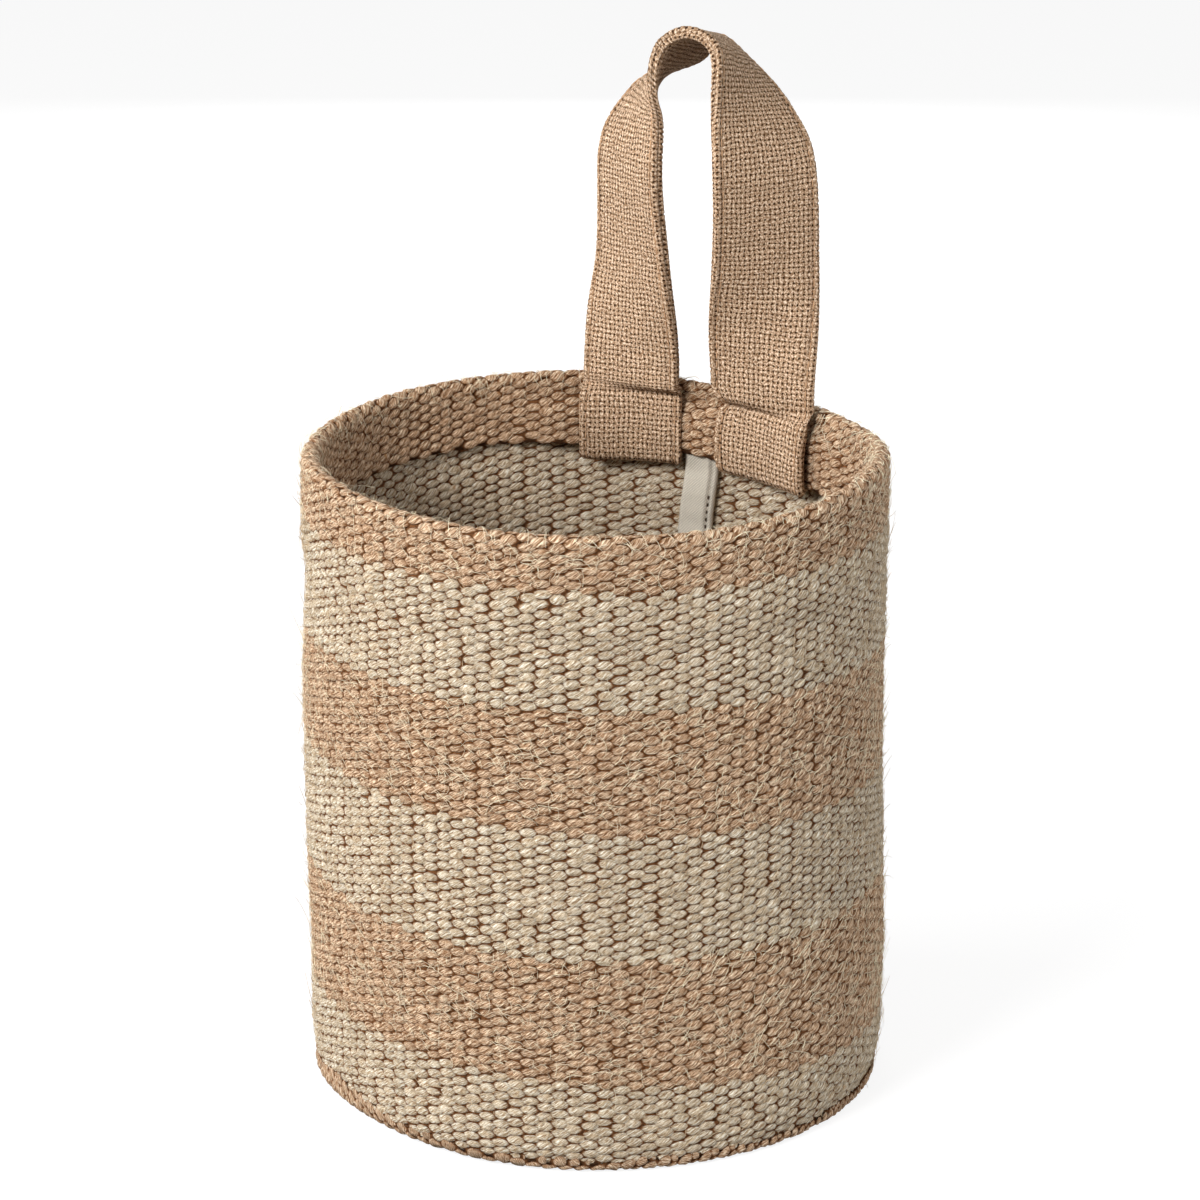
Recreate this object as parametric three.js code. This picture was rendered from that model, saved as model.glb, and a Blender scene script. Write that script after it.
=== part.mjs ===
// Storage basket: a round, soft tub of striped jute cloth, with a strap loop to hang it by.
// Lengths are in millimetres and angles in radians. +Z is up, and the origin is the middle of
// the base's underside. The strap and the wall's seam are at the back, towards +Y.

import * as THREE from "three";
import { mergeVertices } from "three/addons/utils/BufferGeometryUtils.js";

const { clamp, degToRad, lerp, smoothstep } = THREE.MathUtils;

// The tub's cloth and its outer sizes
const wallRadius = 100;
const rimHeight = 222;
const clothThickness = 3;
const sewnGap = 0.4;

// The hem: the wall's top folded in over the rim, which swells the wall where it is double
const hemDepth = 29;
const hemSwell = 1.5;
const hemSwellRun = 12;

// The base disc, with its edge turned up round the wall's foot
const baseLipHeight = 5.5;
const baseCornerRadius = 2.5;
const footFlareRun = 8;

// How far the strap draws the rim towards a flat back, and how far down the wall that reaches
const rimPullReach = 3;
const rimPullRun = 110;
const rimPullFadeShare = 1.5;

// Stripes from the base up, natural and brown by turns. The cloth above the last one is brown.
const stripeWidths = [33, 46.5, 43, 40.5, 40.5];
const stripeBlend = 1.2;

// Binding tapes over the raw edges of the wall's seam and of the base's seam
const seamTapeWidth = 13;
const seamTapeThickness = 4;
const seamTapeEdgeRadius = 2.4;
const seamTapeTuck = 13;
const seamTapeSideGap = 0.5;
const baseTapeHeight = 10;
const baseTapeThickness = 4;
const baseTapeEdgeRadius = 1.8;

// The strap: two plies of finer cloth, folded at the far edge and open at the near edge
const strapWidth = 38;
const strapThickness = 4;
const tailLength = 15;
const pocketSlack = 1;
const creaseDrop = 5;
const creaseDip = 2.4;
const patchSwell = 0.9;
const footClearance = 0.7;

// The free loop above the rim, which folds about a line just above the rim's crest
const foldClearance = 2;
const foldGap = 0.6;
const loopRise = 122;
const crownSetback = 14;
const crownDip = degToRad(13);

// Counts of facets and steps
const roundSteps = 60;
const arcSteps = 4;
const runSteps = 3;
const crestSteps = 6;
const patchFaceSteps = 5;
const loopFaceSteps = 1;
const loopSteps = 60;
const strapEndSteps = 22;

// The loop's centre line and the way its cloth turns, from one foot to the crown, as shares of
// the loop's rise, of the foot's spread, of the crown's setback, of a quarter turn and of the dip
const loopShares = [
  { rise: 0, spread: 1, setback: 0, turn: 0, dip: 0 },
  { rise: 0.33, spread: 1, setback: 0.24, turn: 0.34, dip: 0.1 },
  { rise: 0.64, spread: 1, setback: 0.2, turn: 0.45, dip: -0.48 },
  { rise: 0.82, spread: 0.7, setback: 0.61, turn: 0.77, dip: 0.58 },
  { rise: 0.95, spread: 0.37, setback: 0.91, turn: 1.02, dip: 1.09 },
  { rise: 1, spread: 0, setback: 1, turn: 1, dip: 1 },
];

// A round end of the strap, from its tip: how far in, and how thick, as shares of half its thickness
const roundEndShares = [
  { inset: 0, thickness: 0.3 },
  { inset: 0.12, thickness: 0.48 },
  { inset: 0.35, thickness: 0.76 },
  { inset: 0.65, thickness: 0.94 },
  { inset: 1, thickness: 1 },
];

// Sizes of the tub that follow from those above
const wallFootHeight = clothThickness + sewnGap;
const wallFootRadius = wallRadius - clothThickness - sewnGap;
const footFlareStart = baseLipHeight + sewnGap;
const hemFoot = rimHeight - hemDepth;
const hemZoneInner = wallRadius + hemSwell - clothThickness;
const crestRadius = clothThickness + sewnGap / 2;
const crestMiddle = wallRadius + hemSwell - crestRadius;
const crestBase = rimHeight - crestRadius;
const hemFaceRadius = crestMiddle - crestRadius;
const slitTop = crestBase - clothThickness / 2;
const slitRadius = hemZoneInner - sewnGap / 2;

// Sizes of the strap's seat that follow from those above
const legGap = seamTapeWidth + 2 * seamTapeSideGap;
const legSpread = legGap / 2 + strapWidth / 2;
const strapReach = legSpread + strapWidth / 2;
const strapEdgeAngle = Math.asin(strapReach / wallRadius);
const pocketAngle = Math.asin((strapReach + pocketSlack) / (hemFaceRadius - strapThickness));
const pocketDepth = strapThickness + sewnGap;
const pocketTop = hemFoot + tailLength + pocketSlack;
const halfStrap = strapThickness / 2;
const foldHeight = rimHeight + foldClearance + halfStrap;
const rimFaceAtReach = Math.sqrt((hemFaceRadius + rimPullReach) ** 2 - strapReach ** 2);
const foldLineY = rimFaceAtReach - footClearance - halfStrap;
const legAngle = Math.atan2(legSpread, foldLineY);

const colours = {
  natural: new THREE.Color(0xd3c3a8),
  brown: new THREE.Color(0xbf9a79),
  strap: new THREE.Color(0xc6a17e),
  tape: new THREE.Color(0xc6bfb1),
};

function spaced(from, to, count) {
  return Array.from({ length: count + 1 }, (_, i) => lerp(from, to, i / count));
}

// Radius of the wall's outer face: drawn in at the foot, and swollen where the hem doubles it
function wallFace(height) {
  const flare = smoothstep(height, footFlareStart, footFlareStart + footFlareRun);
  const swell = smoothstep(height, hemFoot - hemSwellRun, hemFoot);
  return lerp(wallFootRadius, wallRadius, flare) + hemSwell * swell;
}

// How far the strap moves the wall outwards at an angle from the back: in behind the seam,
// out at the strap's outer edges, and nothing round the front
function rimPull(angle, height) {
  const turn = Math.abs(angle) / strapEdgeAngle;
  const fade = smoothstep(height, rimHeight - rimPullRun, rimHeight);
  const between = -Math.cos(Math.PI * turn);
  const beyond = (1 + Math.cos((Math.PI * clamp(turn - 1, 0, rimPullFadeShare)) / rimPullFadeShare)) / 2;
  return rimPullReach * fade * (turn < 1 ? between : beyond);
}

// How far the hem stands in from the wall, where it holds the strap's tails and the seam tape
function pocketPush(angle, height) {
  const across = 1 - smoothstep(Math.abs(angle), pocketAngle, pocketAngle + strapEdgeAngle / 2);
  const up = 1 - smoothstep(height, pocketTop, slitTop);
  return pocketDepth * across * up;
}

// Makes one closed surface of a geometry's triangles, with every face pointing out
function closeSurface(geometry) {
  geometry.deleteAttribute("normal");
  geometry.deleteAttribute("uv");
  const closed = mergeVertices(geometry);
  const corners = closed.index.array;
  const points = [0, 1, 2].map(() => new THREE.Vector3());
  let volume = 0;
  for (let i = 0; i < corners.length; i += 3) {
    points.forEach((point, k) => point.fromBufferAttribute(closed.attributes.position, corners[i + k]));
    volume += points[0].dot(points[1].clone().cross(points[2]));
  }
  if (volume < 0) {
    for (let i = 0; i < corners.length; i += 3) {
      [corners[i], corners[i + 1]] = [corners[i + 1], corners[i]];
    }
  }
  closed.computeVertexNormals();
  return closed;
}

// Turns a profile of radii and heights about the +Z axis
function turnProfile(profile) {
  return new THREE.LatheGeometry(profile, roundSteps).rotateX(Math.PI / 2);
}

function movePoints(geometry, place) {
  const points = geometry.attributes.position;
  const point = new THREE.Vector3();
  for (let i = 0; i < points.count; i += 1) {
    place(point.fromBufferAttribute(points, i));
    points.setXYZ(i, point.x, point.y, point.z);
  }
  return geometry;
}

// Heights where the wall's colour changes, each as a pair that keeps the change short
function stripeEdges() {
  let height = 0;
  return stripeWidths.flatMap((width) => {
    height += width;
    return [height - stripeBlend / 2, height + stripeBlend / 2];
  });
}

// Heights at which the wall's profile has a point, with none closer than a stripe's blend
function wallHeights(top) {
  const heights = [
    ...spaced(footFlareStart, footFlareStart + footFlareRun, runSteps),
    ...spaced(rimHeight - rimPullRun, hemFoot - hemSwellRun, runSteps),
    ...spaced(hemFoot - hemSwellRun, hemFoot, runSteps),
    ...stripeEdges(),
  ].sort((a, b) => a - b);
  const kept = [wallFootHeight];
  heights.forEach((height) => {
    const clear = height - kept[kept.length - 1] > stripeBlend / 2;
    if (clear && top - height > stripeBlend / 2) kept.push(height);
  });
  return [...kept, top];
}

// The wall's cut edge: up the outside, over the crest, down the hem, up its back and down inside
function wallProfile() {
  const outside = wallHeights(crestBase).map((z) => new THREE.Vector2(wallFace(z), z));
  const crest = new THREE.Path().absarc(crestMiddle, crestBase, crestRadius, 0, Math.PI, false);
  const hemRound = clothThickness / 2;
  const hemFaceHeights = [...spaced(slitTop, pocketTop, runSteps), hemFoot + hemRound];
  const hemBack = hemFaceRadius + clothThickness;
  const hemEdge = new THREE.Path();
  hemEdge.absarc(hemFaceRadius + hemRound, hemFoot + hemRound, hemRound, Math.PI, 2 * Math.PI, false);
  const inside = wallHeights(slitTop).reverse();
  return [
    ...outside.slice(0, -1),
    ...crest.getPoints(crestSteps / 2),
    ...hemFaceHeights.slice(0, -1).map((z) => new THREE.Vector2(hemFaceRadius, z)),
    ...hemEdge.getPoints(arcSteps / 2),
    ...hemFaceHeights.slice(0, -1).reverse().map((z) => new THREE.Vector2(hemBack, z)),
    ...inside.map((z) => new THREE.Vector2(wallFace(z) - clothThickness, z)),
    outside[0],
  ];
}

function isHem(radius, height) {
  return radius < slitRadius && height > hemFoot - sewnGap / 2;
}

// A stripe has its full colour from the upper height of the pair where it starts
function stripeColour(height) {
  const passed = stripeEdges().filter((edge) => edge < height + stripeBlend / 2).length;
  const stripe = Math.floor(passed / 2);
  return stripe % 2 === 0 ? colours.natural : colours.brown;
}

function wallPanel() {
  const geometry = turnProfile(wallProfile());
  const tints = [];
  movePoints(geometry, (point) => {
    const angle = Math.atan2(point.x, point.y);
    const radius = Math.hypot(point.x, point.y);
    const hem = isHem(radius, point.z);
    const push = hem ? pocketPush(angle, point.z) : 0;
    const moved = radius + rimPull(angle, point.z) - push;
    const tint = hem ? colours.brown : stripeColour(point.z);
    point.x = moved * Math.sin(angle);
    point.y = moved * Math.cos(angle);
    tints.push(tint.r, tint.g, tint.b);
  });
  geometry.setAttribute("color", new THREE.Float32BufferAttribute(tints, 3));
  return closeSurface(geometry);
}

function baseDisc() {
  const lipRound = clothThickness / 2;
  const lipMiddle = baseLipHeight - lipRound;
  const inner = wallRadius - clothThickness;
  const outline = new THREE.Path();
  outline.moveTo(0, 0);
  outline.lineTo(wallRadius - baseCornerRadius, 0);
  outline.absarc(wallRadius - baseCornerRadius, baseCornerRadius, baseCornerRadius, -Math.PI / 2, 0, false);
  outline.lineTo(wallRadius, lipMiddle);
  outline.absarc(wallRadius - lipRound, lipMiddle, lipRound, 0, Math.PI, false);
  outline.lineTo(inner, clothThickness);
  outline.lineTo(0, clothThickness);
  return closeSurface(turnProfile(outline.getPoints(arcSteps / 2)));
}

function roundedBox(shape, left, bottom, width, height, radius) {
  shape.absarc(left + width - radius, bottom + radius, radius, -Math.PI / 2, 0, false);
  shape.absarc(left + width - radius, bottom + height - radius, radius, 0, Math.PI / 2, false);
  shape.absarc(left + radius, bottom + height - radius, radius, Math.PI / 2, Math.PI, false);
  shape.absarc(left + radius, bottom + radius, radius, Math.PI, 1.5 * Math.PI, false);
  shape.closePath();
  return shape;
}

// The ring of tape over the base's seam, which stands in the corner of wall and base
function baseSeamBinding() {
  const left = wallFootRadius - clothThickness - sewnGap - baseTapeThickness;
  const outline = new THREE.Path();
  roundedBox(outline, left, wallFootHeight, baseTapeThickness, baseTapeHeight, baseTapeEdgeRadius);
  return closeSurface(turnProfile(outline.getPoints(1)));
}

// Extrudes a section along a unit length, then carries each of its points to its station's place
function carrySection(section, stations, place) {
  const last = stations.length - 1;
  const options = { depth: 1, steps: last, bevelEnabled: false, curveSegments: arcSteps / 2 };
  const geometry = new THREE.ExtrudeGeometry(section, options);
  return closeSurface(movePoints(geometry, (point) => {
    point.copy(place(point.x, point.y, stations[Math.round(point.z * last)]));
  }));
}

// The tape over the wall's seam: from the base's tape up into the hem's pocket
function backSeamBinding() {
  const half = seamTapeWidth / 2;
  const bottom = wallFootHeight + baseTapeHeight + sewnGap;
  const corner = half - seamTapeEdgeRadius;
  const shoulder = seamTapeThickness - seamTapeEdgeRadius;
  const section = new THREE.Shape();
  section.moveTo(-half, 0);
  spaced(-half, half, arcSteps).forEach((across) => section.lineTo(across, 0));
  section.absarc(corner, shoulder, seamTapeEdgeRadius, 0, Math.PI / 2, false);
  spaced(corner, -corner, arcSteps).forEach((across) => section.lineTo(across, seamTapeThickness));
  section.absarc(-corner, shoulder, seamTapeEdgeRadius, Math.PI / 2, Math.PI, false);
  section.closePath();
  const along = wallHeights(hemFoot + seamTapeTuck).filter((z) => z > bottom + stripeBlend);
  return carrySection(section, [bottom, ...along], (across, proud, z) => {
    const seat = wallFace(z) - clothThickness - sewnGap - proud;
    const angle = across / seat;
    const radius = seat + rimPull(angle, z);
    return new THREE.Vector3(radius * Math.sin(angle), radius * Math.cos(angle), z);
  });
}

// The strap's cut end: two rounded plies with a groove between them at the near edge, on the
// left, and one fold round the far edge, on the right
function strapSection(faceSteps) {
  const half = strapWidth / 2;
  const ply = strapThickness / 4;
  const near = -half + ply;
  const far = half - halfStrap;
  const section = new THREE.Shape();
  section.moveTo(near, -halfStrap);
  section.absarc(near, -ply, ply, 1.5 * Math.PI, Math.PI / 2, true);
  section.absarc(near, ply, ply, 1.5 * Math.PI, Math.PI / 2, true);
  spaced(near, far, faceSteps).forEach((across) => section.lineTo(across, halfStrap));
  section.absarc(far, 0, halfStrap, Math.PI / 2, -Math.PI / 2, true);
  spaced(far, near, faceSteps).forEach((across) => section.lineTo(across, -halfStrap));
  return section;
}

// The route of a sewn end, as depth in from the wall and height: down behind the hem, round its
// foot, up its face as a soft patch, in at the crease that is sewn through, and out to the fold
function strapEndRoute() {
  const tailDepth = sewnGap + halfStrap;
  const patchDepth = tailDepth + strapThickness + 2 * sewnGap + clothThickness;
  const turnHeight = hemFoot + clothThickness / 2;
  const turnRadius = (patchDepth - tailDepth) / 2;
  const creaseHeight = rimHeight - creaseDrop;
  const creaseDepth = patchDepth - creaseDip;
  const tip = foldHeight - halfStrap - foldGap;
  const tipDepth = hemZoneInner + rimPull(legAngle, tip) - Math.hypot(foldLineY, legSpread);
  const swollen = patchDepth + patchSwell;
  const route = new THREE.Path();
  route.moveTo(tailDepth, hemFoot + tailLength);
  route.lineTo(tailDepth, turnHeight);
  route.absarc(tailDepth + turnRadius, turnHeight, turnRadius, Math.PI, 2 * Math.PI, false);
  route.bezierCurveTo(swollen, turnHeight + turnRadius, swollen, pocketTop, creaseDepth, creaseHeight);
  route.bezierCurveTo(
    creaseDepth, creaseHeight + halfStrap, tipDepth, tip - strapThickness, tipDepth, tip,
  );
  return route;
}

// A sewn end of the strap. It lies along the wall up to the crease, and is flat at the fold line.
function strapEnd(side) {
  const route = strapEndRoute();
  const length = route.getLength();
  const tip = route.getPointAt(1);
  const roundEnd = roundEndShares.map((share) => ({
    at: 1 - (share.inset * halfStrap) / length,
    thickness: share.thickness,
  })).reverse();
  const run = spaced(0, 1 - strapThickness / length, strapEndSteps).map((at) => ({ at, thickness: 1 }));
  return carrySection(strapSection(patchFaceSteps), [...run, ...roundEnd], (across, proud, station) => {
    const middle = route.getPointAt(station.at);
    const along = route.getTangentAt(station.at);
    const depth = middle.x + proud * station.thickness * along.y;
    const height = middle.y - proud * station.thickness * along.x;
    const angle = legAngle + across / (hemZoneInner - depth);
    const radius = hemZoneInner + rimPull(angle, height) - depth;
    const flat = smoothstep(middle.y, rimHeight - creaseDrop, tip.y - halfStrap);
    return new THREE.Vector3(
      side * lerp(radius * Math.sin(angle), legSpread + across, flat),
      lerp(radius * Math.cos(angle), foldLineY + tip.x - depth, flat),
      height,
    );
  });
}

// The loop's centre line and the turn and dip of its width, as two curves through the same keys
function loopCurves() {
  const foot = new THREE.Vector3(legSpread, foldLineY, foldHeight);
  const half = loopShares.map((share) => ({
    centre: new THREE.Vector3(
      legSpread * share.spread,
      foldLineY + crownSetback * share.setback,
      foldHeight + loopRise * share.rise,
    ),
    turn: new THREE.Vector3((Math.PI / 2) * share.turn, crownDip * share.dip, 0),
  }));
  const below = {
    centre: foot.setZ(foldHeight - loopRise * loopShares[1].rise),
    turn: half[1].turn,
  };
  const right = [below, ...half];
  const left = right.slice(0, -1).reverse().map((key) => ({
    centre: key.centre.clone().setX(-key.centre.x),
    turn: new THREE.Vector3(Math.PI - key.turn.x, key.turn.y, 0),
  }));
  const keys = [...right, ...left];
  return {
    spans: keys.length - 1,
    centre: new THREE.CatmullRomCurve3(keys.map((key) => key.centre), false, "catmullrom"),
    turn: new THREE.CatmullRomCurve3(keys.map((key) => key.turn), false, "catmullrom"),
  };
}

// The free loop: from the right foot over the crown to the left foot, with round ends that
// turn about the fold line
function strapLoop() {
  const curves = loopCurves();
  const start = 1 / curves.spans;
  const roundEnd = roundEndShares.slice(0, -1).map((share) => ({
    drop: halfStrap * (1 - share.inset),
    thickness: share.thickness,
  }));
  const stations = [
    ...roundEnd.map((end) => ({ ...end, at: start })),
    ...spaced(start, 1 - start, loopSteps).map((at) => ({ at, drop: 0, thickness: 1 })),
    ...roundEnd.map((end) => ({ ...end, at: 1 - start })).reverse(),
  ];
  return carrySection(strapSection(loopFaceSteps), stations, (across, proud, station) => {
    const turn = curves.turn.getPoint(station.at);
    const along = curves.centre.getTangent(station.at);
    const level = Math.cos(turn.y);
    const width = new THREE.Vector3(Math.cos(turn.x) * level, Math.sin(turn.x) * level, -Math.sin(turn.y));
    width.addScaledVector(along, -width.dot(along)).normalize();
    const face = new THREE.Vector3().crossVectors(width, along);
    const point = curves.centre.getPoint(station.at);
    point.addScaledVector(width, across).addScaledVector(face, proud * station.thickness);
    point.z -= station.drop;
    return point;
  });
}

function jute(colour) {
  return new THREE.MeshStandardMaterial({ color: colour, roughness: 0.95, metalness: 0 });
}

// The wall's colours are on its points, so that its stripes show
function stripedJute() {
  return new THREE.MeshStandardMaterial({ vertexColors: true, roughness: 0.95, metalness: 0 });
}

function twillTape() {
  return new THREE.MeshStandardMaterial({ color: colours.tape, roughness: 0.85, metalness: 0 });
}

function addPiece(parent, name, geometry, material) {
  const mesh = new THREE.Mesh(geometry, material);
  mesh.name = name;
  parent.add(mesh);
}

function makeBasket() {
  const basket = new THREE.Group();
  const tub = new THREE.Group();
  const strap = new THREE.Group();
  addPiece(tub, "wall_panel", wallPanel(), stripedJute());
  addPiece(tub, "base_disc", baseDisc(), jute(colours.brown));
  addPiece(tub, "base_seam_binding", baseSeamBinding(), twillTape());
  addPiece(tub, "back_seam_binding", backSeamBinding(), twillTape());
  addPiece(strap, "strap_end_left", strapEnd(-1), jute(colours.strap));
  addPiece(strap, "strap_end_right", strapEnd(1), jute(colours.strap));
  addPiece(strap, "strap_loop", strapLoop(), jute(colours.strap));
  basket.add(tub, strap);
  return basket;
}

const group = makeBasket();
export default group;
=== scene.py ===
import math

import bpy
import numpy as np
from bpy.props import FloatProperty, FloatVectorProperty, IntProperty, PointerProperty
from bpy.types import Operator, Panel, PropertyGroup
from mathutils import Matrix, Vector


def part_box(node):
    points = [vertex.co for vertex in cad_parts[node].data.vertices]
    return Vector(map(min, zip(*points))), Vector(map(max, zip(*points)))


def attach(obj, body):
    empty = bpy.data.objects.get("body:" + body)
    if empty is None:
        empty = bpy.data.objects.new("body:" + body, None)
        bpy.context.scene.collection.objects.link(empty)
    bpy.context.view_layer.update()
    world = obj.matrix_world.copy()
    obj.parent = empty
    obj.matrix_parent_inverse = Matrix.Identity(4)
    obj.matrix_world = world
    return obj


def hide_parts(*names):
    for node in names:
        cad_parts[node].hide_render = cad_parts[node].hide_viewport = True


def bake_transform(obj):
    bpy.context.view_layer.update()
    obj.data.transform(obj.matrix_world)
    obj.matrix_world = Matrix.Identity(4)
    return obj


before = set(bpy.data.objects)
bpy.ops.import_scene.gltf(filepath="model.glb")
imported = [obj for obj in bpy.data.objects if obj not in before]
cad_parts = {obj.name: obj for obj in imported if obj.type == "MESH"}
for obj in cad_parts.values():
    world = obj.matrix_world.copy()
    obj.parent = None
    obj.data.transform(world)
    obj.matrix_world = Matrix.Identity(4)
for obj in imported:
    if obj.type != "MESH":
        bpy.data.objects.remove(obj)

bl_info = {
    "name": "Woven Storage Basket",
    "version": (1, 0, 0),
    "blender": (4, 5, 0),
    "location": "3D View > Sidebar > Basket",
    "description": "Weaves a striped jute storage basket with a strap loop, yarn by yarn",
    "category": "Add Mesh",
}

# Where the photograph was taken from, in the row's frame
CAMERA_PLACE = (0.5838, -1.2929, 0.6189)
CAMERA_PITCH = 0.307
CAMERA_TURN = math.radians(24.3)
CAMERA_LENS = 130.0
CAMERA_SENSOR = 36.0
CAMERA_SHIFT = 0.00375

# A weft's half height and half depth where it floats over a warp and where it crosses between
# two, how far and how sharply it sways out of the cloth's middle, and how far its floats lean
WEFT_FLOAT_HALF = 0.00173
WEFT_CROSS_HALF = 0.00126
WEFT_FLOAT_DEPTH = 0.00084
WEFT_CROSS_DEPTH = 0.00090
WEFT_SWAY = 0.00062
WEFT_SWAY_POWER = 0.55
WEFT_LEAN = 0.00014
WEFT_GIRTH = 0.0066
BASE_WEFT_GIRTH = 0.006

# How far a weft strays: shares of its size, quickly and slowly on the wall, and as many times as
# given along a row of the base, metres up or down, and shares of a warp's width round the wall
SIZE_STRAY = 0.085
SLOW_SIZE_STRAY = 0.05
BASE_SIZE_STRAY = 0.10
BASE_STRAYS = 60
SIZE_LIMITS = (0.72, 1.3)
HEIGHT_STRAY = 0.00011
TURN_STRAY = 0.085

# Where the wall's lowest row lies before the cloth's lift, how far past its flat part and in how
# many steps the ends of the base's rows are sought, and how long the ends taper
LOWEST_ROW = -0.0060
BASE_MARGIN = 0.008
BASE_END_STEPS = 400
BASE_TAPER = 0.0012

# Half thickness of the layer of warps, and how far its ribs stand out
WARP_HALF = 0.00012
WARP_RIB = 0.00036

# Facets of the yarns, threads and fibres, the strips that each has in its bake map and the free
# share at their sides, and how far apart two rows are in the map Yarn, in millimetres
STATIONS_PER_WARP = 6
YARN_SIDES = 8
BASE_YARN_SIDES = 6
BASE_STATIONS = 170
WARP_STATIONS = 4
WARP_ROWS = 100
STEPS_PER_THREAD = 3
STITCH_STATIONS = 6
TAPE_STITCH_STATIONS = 4
THREAD_SIDES = 5
FIBRE_STATIONS = 6
FIBRE_SIDES = 3
BASE_TAPE_STATIONS = 420
BASE_TAPE_SIDES = 24
YARN_MARGIN = 0.04
ROW_APART = 23.0
BAKE_ARCS = 4
STRAP_MARGIN = 0.02
STRAP_ARCS = 3

# How far from its tails the strap's cloth and its topstitching start, and how far from its edges
# the topstitching lies
STRAP_START = 0.008
TOPSTITCH_START = 0.015
STRAP_SEAM_INSET = 0.0022

# The strap's face: height of its weave and of a plain weave's mean, depth and reach of the dent
# along its topstitching, swell of its edges, and how far it strays to the side, in how many threads
STRAP_RELIEF = 0.00065
WEAVE_MEAN = 0.82
SEAM_DENT = 0.00075
SEAM_REACH = 0.0007
EDGE_SWELL = 0.00045
STRAP_STRAY = 0.00022
STRAY_THREADS = 14

# How far the strap's threads stray, as a share of a thread, and how many threads along and across
# it takes, for the threads across the strap and for those along it
THREAD_STRAYS = (
    (0.12, (6, 5), (5, 7)),
    (0.10, (1.5, 1.5), (1.5, 1.5)),
)

# How sharply a thread of a plain weave falls at its sides, and how far it sinks under the next
THREAD_POWER = 0.35
THREAD_SINK = 0.28

# A topstitch: half its thickness, the share of its pitch that shows, how deep its ends lie in the
# cloth, and how far its middle bows out
TOPSTITCH_HALF = 0.00026
TOPSTITCH_SHOWN = 0.78
TOPSTITCH_SINK = 0.00030
TOPSTITCH_BOW = 0.00022

# The wall's tape: the heights where it starts and where it ends over the hem's foot, its steps,
# the radius of its edges, its facets across, how far it leans to its left below the hem, and the
# depths under the hem over which that grows and fades
TAPE_START = 0.0138
TAPE_OVER_HEM = 0.013
TAPE_STEP = 0.0008
TAPE_CORNER = 0.0018
TAPE_FACETS = 16
TAPE_LEAN = 0.0024
TAPE_LEAN_GROWS = (0, 0.026)
TAPE_LEAN_FADES = (0.03, 0.09)

# The tape's stitches: pitch, inset from the edge, length, half thickness, how deep they lie, and
# the height of tape that they run along
TAPE_STITCH = 0.0028
TAPE_SEAM_INSET = 0.0022
TAPE_STITCH_SHOWN = 0.0013
TAPE_STITCH_HALF = 0.0003
TAPE_STITCH_SINK = 0.0010
TAPE_SEAM_RUN = 0.17

# The tape's face: height, number and length of its waves, the dent along its stitches and how much
# deeper it is at each, the dent's reach, and the drop at its edge and where that starts and ends
TAPE_WAVE = 0.00018
TAPE_WAVES = 60
TAPE_WAVE_RUN = 0.004
TAPE_DENT = 0.0006
TAPE_HOLE_DENT = 0.0005
TAPE_DENT_REACH = 0.0005
TAPE_DROP = 0.0009
TAPE_DROP_RUN = (0.0024, 0.0019)

# The base's tape: how square its section is, and how far and how often it is lumpy
BASE_TAPE_POWER = 0.55
BASE_TAPE_LUMP = 0.0132
BASE_TAPE_WAVES = (61, 7)

# Stray fibres: least length and spread of lengths, half thickness, least height over the cloth's
# middle, how far their middle bows out, the greatest share of its length that an end stands out,
# and where the lowest and the highest lie
FIBRE_LEAST = 0.0018
FIBRE_SPREAD = 0.0016
FIBRE_HALF = 0.0001
FIBRE_LIFT = 0.0013
FIBRE_BOW = 0.00025
FIBRE_STAND = 0.45
LOWEST_FIBRE = 0.008
FIBRES_OVER_RIM = 0.008

# Angle of the strands in a yarn, and the distance from one to the next, in millimetres
STRAND_LEAN = math.radians(25)
STRAND_PITCH = 1.1
WAVE_PERIOD = math.pi / 10

# Length and breadth of the grains in a yarn, in millimetres
FIBRE_GRAIN = (1.7, 0.16)
STREAK_GRAIN = (3.2, 0.36)
SHADE_GRAIN = (11.0, 23.0)
LUMP_GRAIN = (7.0, 5.0)
WARP_GRAIN = (3.0, 0.22)

# How much of a yarn's tint comes from its strands, its fibres and its streaks
STRAND_SHARE = 0.10
FIBRE_SHARE = 0.52
STREAK_SHARE = 0.38

# Dry cloth: rough, with hardly any shine
CLOTH_ROUGHNESS = 0.92
CLOTH_SHINE = 0.1

# Light of the white background on the basket
WORLD_LIGHT = 0.34

# The floor: its size, how far it lies under the basket, how brightly it glows for the camera, and
# the shares of the lamps' light that it gives back to the basket and to the camera
FLOOR_SIZE = 12.0
FLOOR_DROP = 0.0002
FLOOR_LIGHT = 0.84
FLOOR_TO_BASKET = 0.30
FLOOR_TO_CAMERA = 0.22

# The lamps: place in the photograph's own directions (to the right, away and up), size and watts
LAMP_AIM = (0, 0, 0.13)
LAMPS = (
    ("key_lamp", (-0.88, -1.18, 1.05), 0.55, 28.5),
    ("left_lamp", (-1.5, -0.1, 0.7), 0.8, 21.0),
    ("fill_lamp", (1.2, -0.75, 0.4), 0.8, 9.0),
    ("back_lamp", (0.0, 1.6, 0.6), 1.0, 9.0),
)

# Height of each change of stripe: at the front of the photograph, how far it falls to the
# right, and how far it rises round the sides
STRIPE_LINES = (
    (0.0330, 0.0070, 0.0),
    (0.0770, 0.0025, 0.0060),
    (0.1210, 0.0055, 0.0020),
    (0.1630, 0.0020, 0.0),
    (0.2038, 0.0013, 0.0),
)


def metres(name, description, default):
    return FloatProperty(
        name=name, description=description, default=default, min=0.0, precision=5,
        subtype="DISTANCE", unit="LENGTH",
    )


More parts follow.
